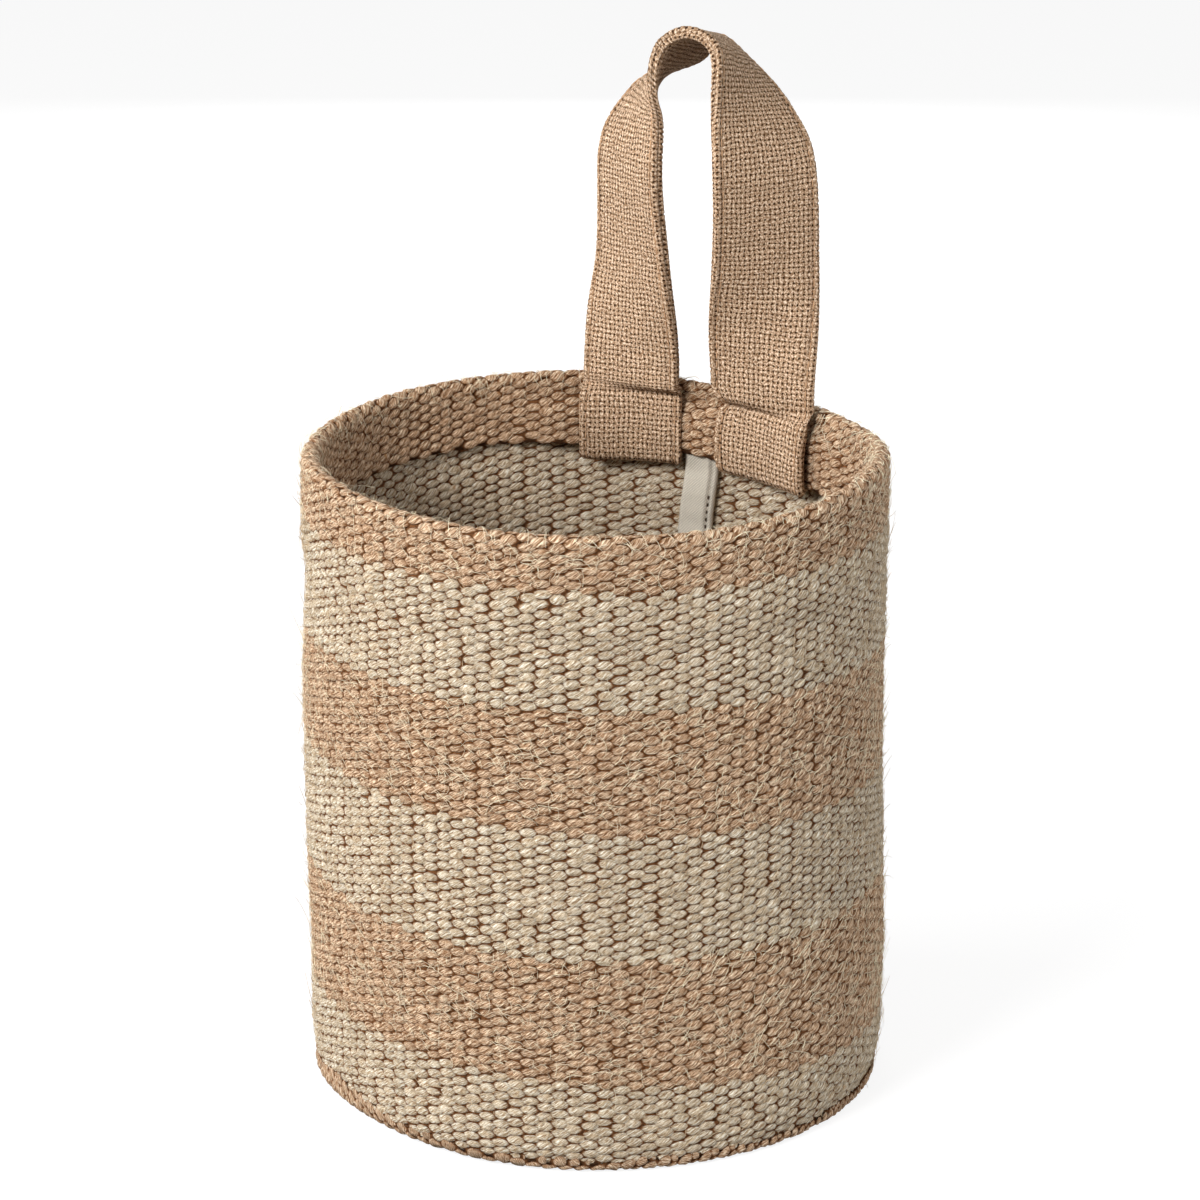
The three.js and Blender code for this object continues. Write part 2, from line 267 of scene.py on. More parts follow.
def colour(name, description, default):
    return FloatVectorProperty(
        name=name, description=description, default=default, min=0.0, max=1.0, size=3,
        subtype="COLOR",
    )


class BasketSizes(PropertyGroup):
    """Sizes of the basket, the same as the solids have"""

    wall_radius: metres("Wall Radius", "Outer radius of the wall", 0.100)
    rim_height: metres("Rim Height", "Height of the folded rim", 0.222)
    cloth: metres("Cloth Thickness", "Thickness of the wall's cloth", 0.003)
    sewn_gap: metres("Sewn Gap", "Gap between two cloths that are sewn together", 0.0004)
    hem_depth: metres("Hem Depth", "How far the hem reaches down inside", 0.029)
    hem_swell: metres("Hem Swell", "How far the wall stands out where the hem doubles it", 0.0015)
    row_pitch: metres("Row Pitch", "Height of one weft row", 0.0017)
    warp_count: IntProperty(name="Warps", description="Warps round the wall", default=124, min=8)
    strap_width: metres("Strap Width", "Width of the strap", 0.038)
    strap_thickness: metres("Strap Thickness", "Thickness of the strap's two plies", 0.004)
    strap_thread: metres("Strap Thread", "Pitch of the strap's threads", 0.0018)
    tape_width: metres("Tape Width", "Width of the tape over the wall's seam", 0.013)
    tape_thickness: metres("Tape Thickness", "Thickness of the tapes with what they wrap", 0.004)
    loop_rise: metres("Loop Rise", "Height of the loop above its fold", 0.122)
    stitch: metres("Stitch", "Length of one stitch and its gap", 0.0034)
    natural_fibres: IntProperty(name="Natural Fibres", default=4500, min=0,
                                description="Stray fibres on the natural stripes")
    brown_fibres: IntProperty(name="Brown Fibres", default=6500, min=0,
                              description="Stray fibres on the brown stripes")


class BasketColours(PropertyGroup):
    """Colours of the basket's yarns and cloths, and of the shade and highlight painted on them"""

    # Each yarn's dark, middle and light tints follow the same value as its bump: partly the fibres' own
    # uneven tone, partly painted shade in the strands' grooves and painted highlight on their tops
    natural_light: colour("Natural Light", "Tops of the natural strands", (1.0, 0.95, 0.82))
    natural: colour("Natural", "Natural stripes", (0.65, 0.50, 0.325))
    natural_dark: colour("Natural Dark", "Grooves of the natural strands", (0.26, 0.15, 0.074))
    brown_light: colour("Brown Light", "Tops of the brown strands", (1.0, 0.815, 0.60))
    brown: colour("Brown", "Brown stripes and base", (0.51, 0.292, 0.157))
    brown_dark: colour("Brown Dark", "Grooves of the brown strands", (0.13, 0.056, 0.022))
    # Painted shade between the yarns: the orange edge is partly the warps' own orange-brown and partly
    # painted shade on the yarns' sides that lie deep in the cloth, and the near-black gap is painted
    # shade in the deepest places
    edge: colour("Edge", "Orange edges of the yarns", (0.24, 0.10, 0.038))
    gap: colour("Gap", "The dark between the yarns", (0.055, 0.022, 0.008))
    slub: colour("Slub", "Rare darker lumps of a yarn", (0.50, 0.24, 0.10))
    # The strap's tints: its own uneven grain, with painted highlight on its threads' tops and painted
    # shade on their sides
    strap_light: colour("Strap Light", "Tops of the strap's threads", (0.91, 0.73, 0.555))
    strap: colour("Strap", "Strap cloth", (0.385, 0.235, 0.132))
    strap_dark: colour("Strap Dark", "Sides of the strap's threads", (0.095, 0.044, 0.019))
    # Painted shade: the dark of the strap's holes
    strap_hole_shade: colour("Strap Gap", "Holes between the strap's threads", (0.03, 0.013, 0.006))
    tape: colour("Tape", "Cotton tape", (0.62, 0.565, 0.475))
    tape_thread: colour("Tape Thread", "Thread sunk in the tape", (0.07, 0.045, 0.03))
    thread: colour("Thread", "Sewing thread", (0.50, 0.31, 0.18))


def smooth(value, low, high):
    """0 below low, 1 above high, and smooth between"""
    share = np.clip((value - low) / (high - low), 0, 1)
    return share * share * (3 - 2 * share)


def bump_over(value, middle, reach):
    """1 at the middle, falling smoothly to nothing well past the reach on both sides"""
    return np.exp(-(((value - middle) / reach) ** 2))


def ring_angles(count):
    """Even angles round a whole turn"""
    return np.arange(count) * 2 * math.pi / count


def ring_points(radius, turn, height):
    """Points at a radius from the tub's middle, an angle from its front and a height"""
    places = np.broadcast_arrays(radius * np.sin(turn), -radius * np.cos(turn), height)
    return np.stack(places, axis=-1)


class TubShape:
    """The tub's surfaces, in the same measures as the solids"""

    # The turned-up lip's height, how far below and above it the wall flares, and how far the
    # wall's foot stands out inside it
    lip = 0.0055
    flare_below = 0.0035
    flare_above = 0.0045
    foot_out = 0.0016
    # How far below the hem the wall starts to swell
    swell_run = 0.012
    # How far the strap pulls the rim in between its legs and out at their sides, and how far down
    pull_reach = 0.003
    pull_run = 0.110
    # The pocket behind the strap's ends: its play at the sides, and how high over the hem's foot
    pocket_play = 0.001
    pocket_rise = 0.016
    # The gap between the tape and each leg of the strap
    leg_gap = 0.0005
    # How far the hem's sewn foot lies towards the wall, and how far up it comes away
    tuck_depth = 0.0018
    tuck_run = 0.008
    # Depth and reach of the wall's upright seam
    seam_depth = 0.0008
    seam_reach = 0.0012
    # Heights between which the rim's rise starts to lift the wall's swell
    rise_run = (0.1, 0.2)
    # The lip's tall place and the base's curled edge: middle and reach as angles to the right of
    # the photograph's middle, how far the wall is dented there, between which heights, and the
    # height of the curl
    tall_lip = (math.radians(-66), math.radians(19))
    tall_lip_dent = 0.0017
    dent_run = (0.009, 0.018)
    curl = (math.radians(-58), math.radians(27))
    curl_rise = 0.0025
    # How the real rim rises round the tub: its mean, then a cosine and a sine of each wave
    rim_mean = 0.00168
    rim_waves = (
        (-0.00054, -0.00082),
        (-0.00038, 0.00068),
        (-0.00129, -0.00040),
        (0.00013, -0.00037),
        (0.00046, 0.00025),
    )
    # How far the real wall stands out at the photograph's left and right, by height
    sag_heights = (0.006, 0.016, 0.033, 0.047, 0.080, 0.114, 0.147, 0.180, 0.200, 0.225)
    left_sag = (0.0, 0.0, 0.0, -0.0002, 0.0007, 0.0010, 0.0010, -0.0007, -0.0010, -0.0015)
    right_sag = (-0.0005, 0.0009, 0.0010, 0.0015, 0.0007, -0.0003, -0.0006, 0.0, -0.0015, -0.0012)

    def __init__(self, sizes):
        self.radius = sizes.wall_radius
        self.cloth = sizes.cloth
        self.rim_height = sizes.rim_height
        self.swell = sizes.hem_swell
        self.hem_foot = sizes.rim_height - sizes.hem_depth
        self.foot_radius = sizes.wall_radius - sizes.cloth - sizes.sewn_gap
        self.crest = sizes.cloth + sizes.sewn_gap / 2
        self.crest_middle = sizes.wall_radius + sizes.hem_swell - self.crest
        self.bend = self.crest - sizes.cloth / 2
        self.hem_inner = self.crest_middle - self.crest
        self.hem_zone = sizes.wall_radius + sizes.hem_swell - sizes.cloth
        self.slit_top = sizes.rim_height - self.crest - sizes.cloth / 2
        half = sizes.strap_width / 2
        self.leg_spread = sizes.tape_width / 2 + self.leg_gap + half
        self.reach = self.leg_spread + half
        self.edge_angle = math.asin(self.reach / self.radius)
        self.pocket_angle = math.asin(
            (self.reach + self.pocket_play) / (self.hem_inner - sizes.strap_thickness))
        self.pocket = sizes.strap_thickness + sizes.sewn_gap
        self.pocket_top = self.hem_foot + self.pocket_rise

    def face(self, height):
        """Radius of the wall's outside"""
        flare = smooth(height, self.lip - self.flare_below, self.lip + self.flare_above)
        out = smooth(height, self.hem_foot - self.swell_run, self.hem_foot)
        foot = self.foot_radius + self.foot_out
        return foot + (self.radius - foot) * flare + self.swell * out

    def pull(self, from_back, height):
        """How far the strap pulls the wall out at its legs' sides, and in between them"""
        turn = np.abs(from_back) / self.edge_angle
        fade = smooth(height, self.rim_height - self.pull_run, self.rim_height)
        between = -np.cos(math.pi * turn)
        beyond = (1 + np.cos(math.pi * np.clip(turn - 1, 0, 1.5) / 1.5)) / 2
        return self.pull_reach * fade * np.where(turn < 1, between, beyond)

    def past_pocket(self, from_back):
        """0 behind the strap's ends, and 1 where the hem is free of them"""
        return smooth(np.abs(from_back), self.pocket_angle, self.pocket_angle + self.edge_angle / 2)

    def push(self, from_back, height):
        """How far the strap's ends push the hem in"""
        up = smooth(height, self.pocket_top, self.slit_top)
        return self.pocket * (1 - self.past_pocket(from_back)) * (1 - up)

    def tuck(self, from_back, height):
        """How far the hem's sewn foot lies towards the wall, away from the strap's ends"""
        up = smooth(height, self.hem_foot, self.hem_foot + self.tuck_run)
        return self.tuck_depth * self.past_pocket(from_back) * (1 - up)

    def rim(self, turn):
        """Height of the rim at an angle"""
        seen = turn - CAMERA_TURN
        rise = self.rim_mean
        for k, (cosine, sine) in enumerate(self.rim_waves, 1):
            rise = rise + cosine * np.cos(k * seen) + sine * np.sin(k * seen)
        return self.rim_height + rise

    def sag(self, turn, height):
        """How far the real wall stands out at the photograph's left and right"""
        side = np.sin(turn - CAMERA_TURN)
        left = np.interp(height, self.sag_heights, self.left_sag)
        right = np.interp(height, self.sag_heights, self.right_sag)
        return side ** 4 * np.where(side < 0, left, right)

    def lip_rise(self, turn):
        """1 where the turned-up edge stands tallest, at an angle"""
        return bump_over(turn - CAMERA_TURN, *self.tall_lip)

    def foot_rise(self, turn):
        """How far the base's edge has curled up, at an angle"""
        return self.curl_rise * bump_over(turn - CAMERA_TURN, *self.curl)

    def lift(self, turn, height):
        """How far the real cloth's rows lie above their level places"""
        seen = turn - CAMERA_TURN
        knots = [line[0] for line in STRIPE_LINES]
        total = 0
        for k, (_, fall, rise) in enumerate(STRIPE_LINES):
            shift = -fall * np.sin(seen) + rise * (1 - np.cos(seen))
            total = total + shift * np.interp(height, knots, np.eye(len(knots))[k])
        return total

    def place(self, turn, height, proud):
        """A point of the wall's cloth: angle from the front, height along the cloth, and how
        far it stands out of the cloth's middle"""
        turn = (turn - CAMERA_TURN + math.pi) % (2 * math.pi) - math.pi + CAMERA_TURN
        bottom = self.cloth + self.foot_rise(turn)
        along = np.maximum(height + self.lift(turn, height), bottom)
        rim = self.rim(turn)
        crest_base = rim - self.crest
        arc = np.clip((along - crest_base) / self.bend, 0, math.pi)
        down = np.maximum(along - crest_base - math.pi * self.bend, 0)
        flat = arc <= 0
        shown = along - (rim - self.rim_height) * smooth(along, *self.rise_run)
        radius = np.where(flat, self.face(shown) - self.cloth / 2,
                          self.crest_middle + self.bend * np.cos(arc))
        level = np.where(flat, along, crest_base + self.bend * np.sin(arc) - down)
        radius = radius + proud * np.cos(arc)
        level = level + proud * np.sin(arc)
        from_back = (turn % (2 * math.pi)) - math.pi
        radius = radius + self.pull(from_back, level) + self.sag(turn, level)
        radius = radius - self.tall_lip_dent * self.lip_rise(turn) * (1 - smooth(level, *self.dent_run))
        seam = self.seam_depth * bump_over(from_back * self.radius, 0, self.seam_reach)
        on_hem = self.tuck(from_back, level) - self.push(from_back, level)
        radius = radius + np.where(arc > math.pi / 2, on_hem, -seam)
        return ring_points(radius, turn, level)


class BaseShape:
    """The base cloth: flat under the tub, with its edge turned up round the wall's foot"""

    # How far inside the wall's face its edge turns up, the radius of that bend, and how tall the
    # edge stands, mostly and at its tall place
    inset = 0.0019
    bend = 0.001
    lip = 0.0043
    tall_lip = 0.0036
    # The cut edge's lumps: height, how many round the base, and where they start
    lumps = ((0.0005, 9, 1.0), (0.0004, 23, 0.0))
    # How far the edge leans in for its height, and how thin it is beside the flat cloth
    lean = 0.06
    thin = 0.8
    # How far in from the bend the edge's curl starts
    curl_run = 0.022

    def __init__(self, sizes, tub):
        self.tub = tub
        self.middle = sizes.cloth / 2
        self.flat = sizes.wall_radius - self.inset - self.bend

    def edge(self, turn):
        """How far the cloth reaches from its middle before its cut edge, at an angle"""
        lump = sum(tall * np.sin(count * turn + start) for tall, count, start in self.lumps)
        lip = self.lip + lump + self.tall_lip * self.tub.lip_rise(turn)
        return self.flat + self.bend * math.pi / 2 + lip - self.middle - self.bend

    def place(self, x, y, proud):
        """A point of the base's cloth: its place when the cloth lies flat, and how far it stands
        out of the cloth's middle"""
        reach = np.hypot(x, y)
        turn = np.arctan2(x, -y)
        over = np.clip((reach - self.flat) / self.bend, 0, math.pi / 2)
        up = np.maximum(reach - self.flat - self.bend * math.pi / 2, 0)
        radius = np.minimum(reach, self.flat) + self.bend * np.sin(over) - self.lean * up
        level = self.middle + self.bend * (1 - np.cos(over)) + up
        proud = proud * (1 - (1 - self.thin) * np.sin(over))
        radius = radius + proud * np.sin(over)
        level = level - proud * np.cos(over)
        curled = smooth(reach, self.flat - self.curl_run, self.flat + self.bend)
        return ring_points(radius, turn, level + self.tub.foot_rise(turn) * curled)


class StrapShape:
    """The strap's route: a sewn end, the free loop, and the other sewn end"""

    # How far the fold lies over the rim, and how far inside the hem's pulled face
    fold_rise = 0.002
    fold_inset = 0.0007
    # A sewn end: how far its tail reaches up behind the hem, how far it drops below the hem's foot,
    # how far its face swells, how deep and how far below the rim its crease is, and how far its
    # tip lies under the loop
    tail_rise = 0.015
    turn_drop = 0.0024
    patch_swell = 0.0009
    crease_depth = 0.0016
    crease_drop = 0.005
    tip_drop = 0.0006
    # The crease's reach and dent, the share by which it thins the strap, and how far out of the
    # hidden layer a place has to be for it
    crease_reach = 0.0014
    crease_dent = 0.0005
    crease_thin = 0.3
    crease_from = 0.002
    # The share by which the strap narrows behind the hem, and over which depths
    narrow = 0.2
    narrow_run = (0.0005, 0.0055)
    # The right end's pinched corner: how high over the crease, its reach, the places across the
    # strap between which it starts, and its depth
    corner_rise = 0.002
    corner_reach = 0.0045
    corner_run = (0.006, 0.019)
    corner_depth = 0.003
    # How far the sewn ends are lifted with the rim's waves
    end_lift = 0.0005
    # The soft ends: how far up the loop they differ from the solids, and the share by which the
    # right and the left one are wider and the angle by which they are turned about the tub's axis
    soft_run = 0.035
    soft_widths = (0.01, -0.05)
    soft_turns = (0.0125, 0.0205)
    # The loop's setback at its crown, and its dip there
    setback = 0.014
    dip = math.radians(13)
    # Shares of the loop's rise, spread, setback, turn and dip
    loop_keys = (
        (0.0, 1.0, 0.0, 0.0, 0.0),
        (0.33, 1.0, 0.24, 0.34, 0.1),
        (0.64, 1.0, 0.2, 0.45, -0.48),
        (0.82, 0.7, 0.61, 0.77, 0.58),
        (0.95, 0.37, 0.91, 1.02, 1.09),
        (1.0, 0.0, 1.0, 1.0, 1.0),
    )
    # How the soft loop leaves its mirrored shape at each key: degrees that its right leg and its
    # left leg turn, how far each sways to the right, and degrees that the left leg dips
    loop_sways = (
        (0, 0, 0, 0, 0),
        (4.0, 4.2, 0.0004, 0.0008, 0),
        (5.9, 5.1, -0.0004, -0.0005, -3.5),
        (0, 19.0, -0.0005, -0.0042, 3.5),
        (3.0, 15.5, -0.0011, -0.0016, 15.0),
        (11.0, 0, -0.0030, 0, 0),
    )
    # Points along the sewn end's tail, turn, curves and tip, and along the routes measured evenly
    tail_points = 40
    turn_points = 60
    curve_points = 120
    tip_points = 12
    end_points_kept = 700
    loop_points_made = 3000
    loop_points_kept = 2400

    def __init__(self, sizes, tub):
        self.tub = tub
        self.half = sizes.strap_thickness / 2
        self.fold = tub.rim_height + self.fold_rise + self.half
        face_at_reach = math.sqrt((tub.hem_inner + tub.pull_reach) ** 2 - tub.reach ** 2)
        self.fold_y = face_at_reach - self.fold_inset - self.half
        self.leg_angle = math.atan2(tub.leg_spread, self.fold_y)
        self.trace_end(sizes)
        self.trace_loop(sizes.loop_rise)
        self.length = 2 * self.end_length + self.loop_length

    def trace_end(self, sizes):
        """The sewn end as depths behind the wall's inside and heights: up behind the hem, round
        its foot, up its face to the crease, and on to the fold"""
        tub, half = self.tub, self.half
        tail = sizes.sewn_gap + half
        patch = tail + 2 * half + 2 * sizes.sewn_gap + sizes.cloth
        low = tub.hem_foot + sizes.cloth / 2
        turn_radius = (patch - tail) / 2
        crease = (patch - self.crease_depth, tub.rim_height - self.crease_drop)
        over_crease = (crease[0], crease[1] + half)
        tip = self.fold - half - self.tip_drop
        tip_depth = float(tub.hem_zone + tub.pull(self.leg_angle, tip)
                          - math.hypot(self.fold_y, tub.leg_spread))
        swollen = patch + self.patch_swell
        turn = np.linspace(0, math.pi, self.turn_points)[1:]
        share = np.linspace(0, 1, self.curve_points)[1:, None]
        points = np.concatenate([
            np.linspace((tail, tub.hem_foot + self.tail_rise), (tail, low), self.tail_points),
            np.stack([tail + turn_radius - turn_radius * np.cos(turn),
                      low - self.turn_drop * np.sin(turn)], axis=1),
            bezier(share, (patch, low), (swollen, low + turn_radius),
                   (swollen, tub.pocket_top), crease),
            bezier(share, crease, over_crease, (tip_depth, tip - 2 * half), (tip_depth, tip)),
            np.linspace((tip_depth, tip), (tip_depth, self.fold), self.tip_points)[1:],
        ])
        self.patch_depth = patch
        self.tip, self.tip_depth = tip, tip_depth
        self.crease_height = crease[1]
        self.end_at, self.end_length, self.end_points = even_steps(points, self.end_points_kept)
        self.end_slopes = slopes(self.end_points)

    def trace_loop(self, rise):
        """The loop's middle line, with the ways across its width and out of its face"""
        keys = np.array(self.loop_keys)
        spread = self.tub.leg_spread
        half = np.stack([
            spread * keys[:, 1], self.fold_y + self.setback * keys[:, 2], self.fold + rise * keys[:, 0],
            math.pi / 2 * keys[:, 3], self.dip * keys[:, 4],
        ], axis=1)
        below = half[1].copy()
        below[:3] = spread, self.fold_y, self.fold - rise * keys[1, 0]
        right = np.vstack([below, half])
        left = right[:-1][::-1].copy()
        left[:, 0] *= -1
        left[:, 3] = math.pi - left[:, 3]
        sways = np.array(((0, 0, 0, 0, 0), *self.loop_sways))
        left_sways = sways[:-1][::-1]
        right[:, 3] += np.radians(sways[:, 0])
        left[:, 3] += np.radians(left_sways[:, 1])
        right[:, 0] += sways[:, 2]
        left[:, 0] += left_sways[:, 3]
        left[:, 4] += np.radians(left_sways[:, 4])
        keys = np.vstack([right, left])
        points = catmull_rom(keys, np.linspace(1, len(keys) - 2, self.loop_points_made))
        self.loop_at, self.loop_length, points = even_steps(points, self.loop_points_kept, columns=3)
        self.loop_points = points[:, :3]
        along = slopes(self.loop_points)
        turn, dipped = points[:, 3], points[:, 4]
        width = np.stack([np.cos(turn) * np.cos(dipped), np.sin(turn) * np.cos(dipped),
                          -np.sin(dipped)], axis=1)
        width -= along * np.sum(width * along, axis=1, keepdims=True)
        self.loop_width = width / np.linalg.norm(width, axis=1, keepdims=True)
        self.loop_face = np.cross(self.loop_width, along)

    def end_place(self, along, across, proud, side):
        """A point of the sewn end on one side of the tub: 1 for the right, -1 for the left"""
        depth, height = places_at(along, self.end_at, self.end_points)
        run, climb = places_at(along, self.end_at, self.end_slopes)
        flat = smooth(height, self.crease_height, self.tip - self.half)
        on_face = depth > self.half + self.crease_from
        pinch = bump_over(height, self.crease_height, self.crease_reach) * on_face
        proud = proud * (1 - self.crease_thin * pinch)
        across = across * (1 - self.narrow * smooth(self.patch_depth - depth, *self.narrow_run))
        corner = bump_over(height, self.crease_height + self.corner_rise, self.corner_reach)
        corner = corner * smooth(-across, *self.corner_run)
        across = across + self.corner_depth * corner * (side > 0) * on_face
        depth = depth - self.crease_dent * pinch + proud * climb
        height = height - proud * run
        angle = self.leg_angle + across / (self.tub.hem_zone - depth)
        rise = self.tub.rim(math.pi - side * angle) - self.tub.rim_height + self.end_lift
        height = height + rise * (1 - smooth(height, self.crease_height, self.fold))
        radius = self.tub.hem_zone + self.tub.pull(self.leg_angle, height) - depth
        x = side * (radius * np.sin(angle) * (1 - flat) + (self.tub.leg_spread + across) * flat)
        y = radius * np.cos(angle) * (1 - flat) + (self.fold_y + self.tip_depth - depth) * flat
        return np.stack(np.broadcast_arrays(x, y, height), axis=-1)

    def loop_place(self, along, across, proud):
        """A point of the loop"""
        middle, width, face = (
            np.stack(places_at(along, self.loop_at, table), axis=-1)
            for table in (self.loop_points, self.loop_width, self.loop_face))
        return middle + width * across[..., None] + face * proud[..., None]

    def place(self, along, across, proud):
        """A point of the strap: length along it from the right tail, place across it from its
        middle towards its far edge, and how far it stands from its middle layer"""
        along, across, proud = np.broadcast_arrays(along, across, proud)
        from_left = self.length - along
        ends = [1 - smooth(part, self.end_length, self.end_length + self.soft_run)
                for part in (along, from_left)]
        across = across * (1 + sum(wide * end for wide, end in zip(self.soft_widths, ends)))
        right = self.end_place(along, across, proud, 1)
        left = self.end_place(from_left, across, proud, -1)
        loop = self.loop_place(along - self.end_length, across, proud)
        on_right = (along < self.end_length)[..., None]
        on_left = (along > self.length - self.end_length)[..., None]
        points = np.where(on_right, right, np.where(on_left, left, loop))
        turn = sum(angle * end for angle, end in zip(self.soft_turns, ends))
        x, y, z = (points[..., k] for k in range(3))
        cos, sin = np.cos(turn), np.sin(turn)
        return np.stack([x * cos + y * sin, y * cos - x * sin, z], axis=-1)


def places_at(along, lengths, table):
    """Each column of a table of places or ways, at a length along it"""
    return [np.interp(along, lengths, column) for column in table.T]


def bezier(share, a, b, c, d):
    a, b, c, d = (np.array(point) for point in (a, b, c, d))
    rest = 1 - share
    return rest ** 3 * a + 3 * rest ** 2 * share * b + 3 * rest * share ** 2 * c + share ** 3 * d


def catmull_rom(keys, at):
    base = np.clip(np.floor(at).astype(int), 1, len(keys) - 3)
    t = (at - base)[:, None]
    p0, p1, p2, p3 = keys[base - 1], keys[base], keys[base + 1], keys[base + 2]
    m1, m2 = (p2 - p0) / 2, (p3 - p1) / 2
    return ((2 * t ** 3 - 3 * t ** 2 + 1) * p1 + (t ** 3 - 2 * t ** 2 + t) * m1
            + (3 * t ** 2 - 2 * t ** 3) * p2 + (t ** 3 - t ** 2) * m2)


def even_steps(points, count, columns=None):
    """A route's points at even lengths, measured by its first columns: the lengths, the whole
    length, and the points"""
    steps = np.linalg.norm(np.diff(points[:, :columns], axis=0), axis=1)
    at = np.concatenate([[0], np.cumsum(steps)])
    even = np.linspace(0, at[-1], count)
    return even, at[-1], np.stack(places_at(even, at, points), axis=1)


def slopes(points):
    along = np.gradient(points, axis=0)
    return along / np.linalg.norm(along, axis=1, keepdims=True)


def make_piece(name, points, quads, material, body=None, uvs=(), values=()):
    """Makes one object of numpy points and quads, with smooth faces that point outwards"""
    points = points.reshape(-1, 3)
    quads = quads.reshape(-1, 4)
    a, b, c, d = (points[quads[:, k]] for k in range(4))
    volume = np.sum(a * (np.cross(b, c) + np.cross(c, d)))
    flipped = volume < 0
    if flipped:
        quads = quads[:, ::-1]
    mesh = bpy.data.meshes.new(name)
    mesh.vertices.add(len(points))
    mesh.vertices.foreach_set("co", points.astype(np.float32).ravel())
    mesh.loops.add(quads.size)
    mesh.loops.foreach_set("vertex_index", quads.astype(np.int32).ravel())
    mesh.polygons.add(len(quads))
    mesh.polygons.foreach_set("loop_start", np.arange(0, quads.size, 4, dtype=np.int32))
    mesh.polygons.foreach_set("loop_total", np.full(len(quads), 4, dtype=np.int32))
    mesh.polygons.foreach_set("use_smooth", np.ones(len(quads), dtype=bool))
    for layer, corners in uvs:
        corners = corners.reshape(-1, 4, 2)
        if flipped:
            corners = corners[:, ::-1]
        mesh.uv_layers.new(name=layer).data.foreach_set("uv", corners.astype(np.float32).ravel())
    for layer, value in values:
        attribute = mesh.attributes.new(layer, "FLOAT", "POINT")
        attribute.data.foreach_set("value", value.astype(np.float32).ravel())
    mesh.update(calc_edges=True)
    mesh.validate()
    mesh.materials.append(material)
    piece = bpy.data.objects.new(name, mesh)
    bpy.context.scene.collection.objects.link(piece)
    if body:
        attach(piece, body)
    return piece


def tube_quads(rows, stations, sides, closed):
    """Corner numbers of the faces of tubes whose points are numbered row, station, side, and the
    row, the stations and the sides of those corners"""
    row, station, side = np.meshgrid(
        np.arange(rows), np.arange(stations if closed else stations - 1), np.arange(sides),
        indexing="ij")
    row = row[..., None]
    ks = np.stack([station, station, station + 1, station + 1], axis=-1)
    ms = np.stack([side, side + 1, side + 1, side], axis=-1)
    quads = (row * stations + ks % stations) * sides + ms % sides
    return quads, row, ks, ms


def bake_places(row, ks, ms, rows, spans, sides, arcs, margin):
    """Places in a bake map that gives each arc of each row a strip of its own"""
    arc_span = -(-spans // arcs)
    arc = ks[..., :1] // arc_span
    u = (ks - arc * arc_span) / arc_span
    v = (row * arcs + arc + margin + (1 - 2 * margin) * ms / sides) / (rows * arcs)
    return np.stack([u, v], axis=-1)


def make_tubes(name, points, material, step, girth, arcs=1, closed=False, body="tub",
               values=()):
    """Makes one object of tubes whose points are numbered row, station, side. Its map Yarn is in
    millimetres: step is the length from one station to the next, and girth is round the tube"""
    rows, stations, sides = points.shape[:3]
    quads, row, ks, ms = tube_quads(rows, stations, sides, closed)
    yarn = np.stack([ks * step * 1000, row * ROW_APART + ms * (girth / sides) * 1000], axis=-1)
    bake = bake_places(row, ks, ms, rows, stations, sides, arcs, YARN_MARGIN)
    return make_piece(name, points, quads, material, body, (("Yarn", yarn), ("OFBake", bake)),
                      values)


def value_noise(rng, rows, count, at):
    """Smooth random values along each row, one for each whole number of at, closed round"""
    table = rng.standard_normal((rows, count))
    low = np.floor(at).astype(int)
    share = at - low
    share = share * share * (3 - 2 * share)
    return table[:, low % count] * (1 - share) + table[:, (low + 1) % count] * share


def cloth_noise(rng, along, across):
    """Smooth random values over a cloth, one for each whole number of along and across"""
    table = value_noise(rng, int(across.max()) + 2, int(along.max()) + 2, along)
    low = np.floor(across).astype(int)
    share = (across - low)[:, None]
    share = share * share * (3 - 2 * share)
    return (table[low] * (1 - share) + table[low + 1] * share).T


def weft_section(phase, size, sides):
    """Places of a weft's section round its middle line, as it passes over and under the warps:
    up the cloth and out of it. A phase of 0 is over a warp, and half a turn is under one"""
    over = np.cos(phase)
    share = np.abs(over)
    half = (WEFT_CROSS_HALF + (WEFT_FLOAT_HALF - WEFT_CROSS_HALF) * share) * size
    depth = (WEFT_CROSS_DEPTH + (WEFT_FLOAT_DEPTH - WEFT_CROSS_DEPTH) * share) * np.sqrt(size)
    beta = math.pi / 2 + ring_angles(sides)
    rise = WEFT_LEAN * np.sin(phase)[..., None] + half[..., None] * np.sin(beta)
    sway = WEFT_SWAY * np.sign(over) * share ** WEFT_SWAY_POWER
    proud = sway[..., None] + depth[..., None] * np.cos(beta)
    return rise, proud


def weave_wall_rows(sizes, shape, rng, first, count):
    """Weft rings number first to first + count: points, and how near the cloth's face they are, which
    sets where the yarns' shade is painted
    """
    warps = sizes.warp_count
    at = np.arange(warps * STATIONS_PER_WARP) / STATIONS_PER_WARP
    row = np.arange(first, first + count)[:, None]
    phase = math.pi * (at + row)
    size = 1 + SIZE_STRAY * value_noise(rng, count, warps, at)
    size = size + SLOW_SIZE_STRAY * value_noise(rng, count, warps // 4, at / 4)
    wander = HEIGHT_STRAY * value_noise(rng, count, warps // 2, at / 2)
    shift = TURN_STRAY * value_noise(rng, count, warps // 4, at / 4)
    rise, proud = weft_section(phase, np.clip(size, *SIZE_LIMITS), YARN_SIDES)
    height = row * sizes.row_pitch + wander
    turn = (at + shift) * 2 * math.pi / warps
    points = shape.place(turn[..., None], height[..., None] + rise, proud)
    return points, np.abs(proud) / (sizes.cloth / 2)


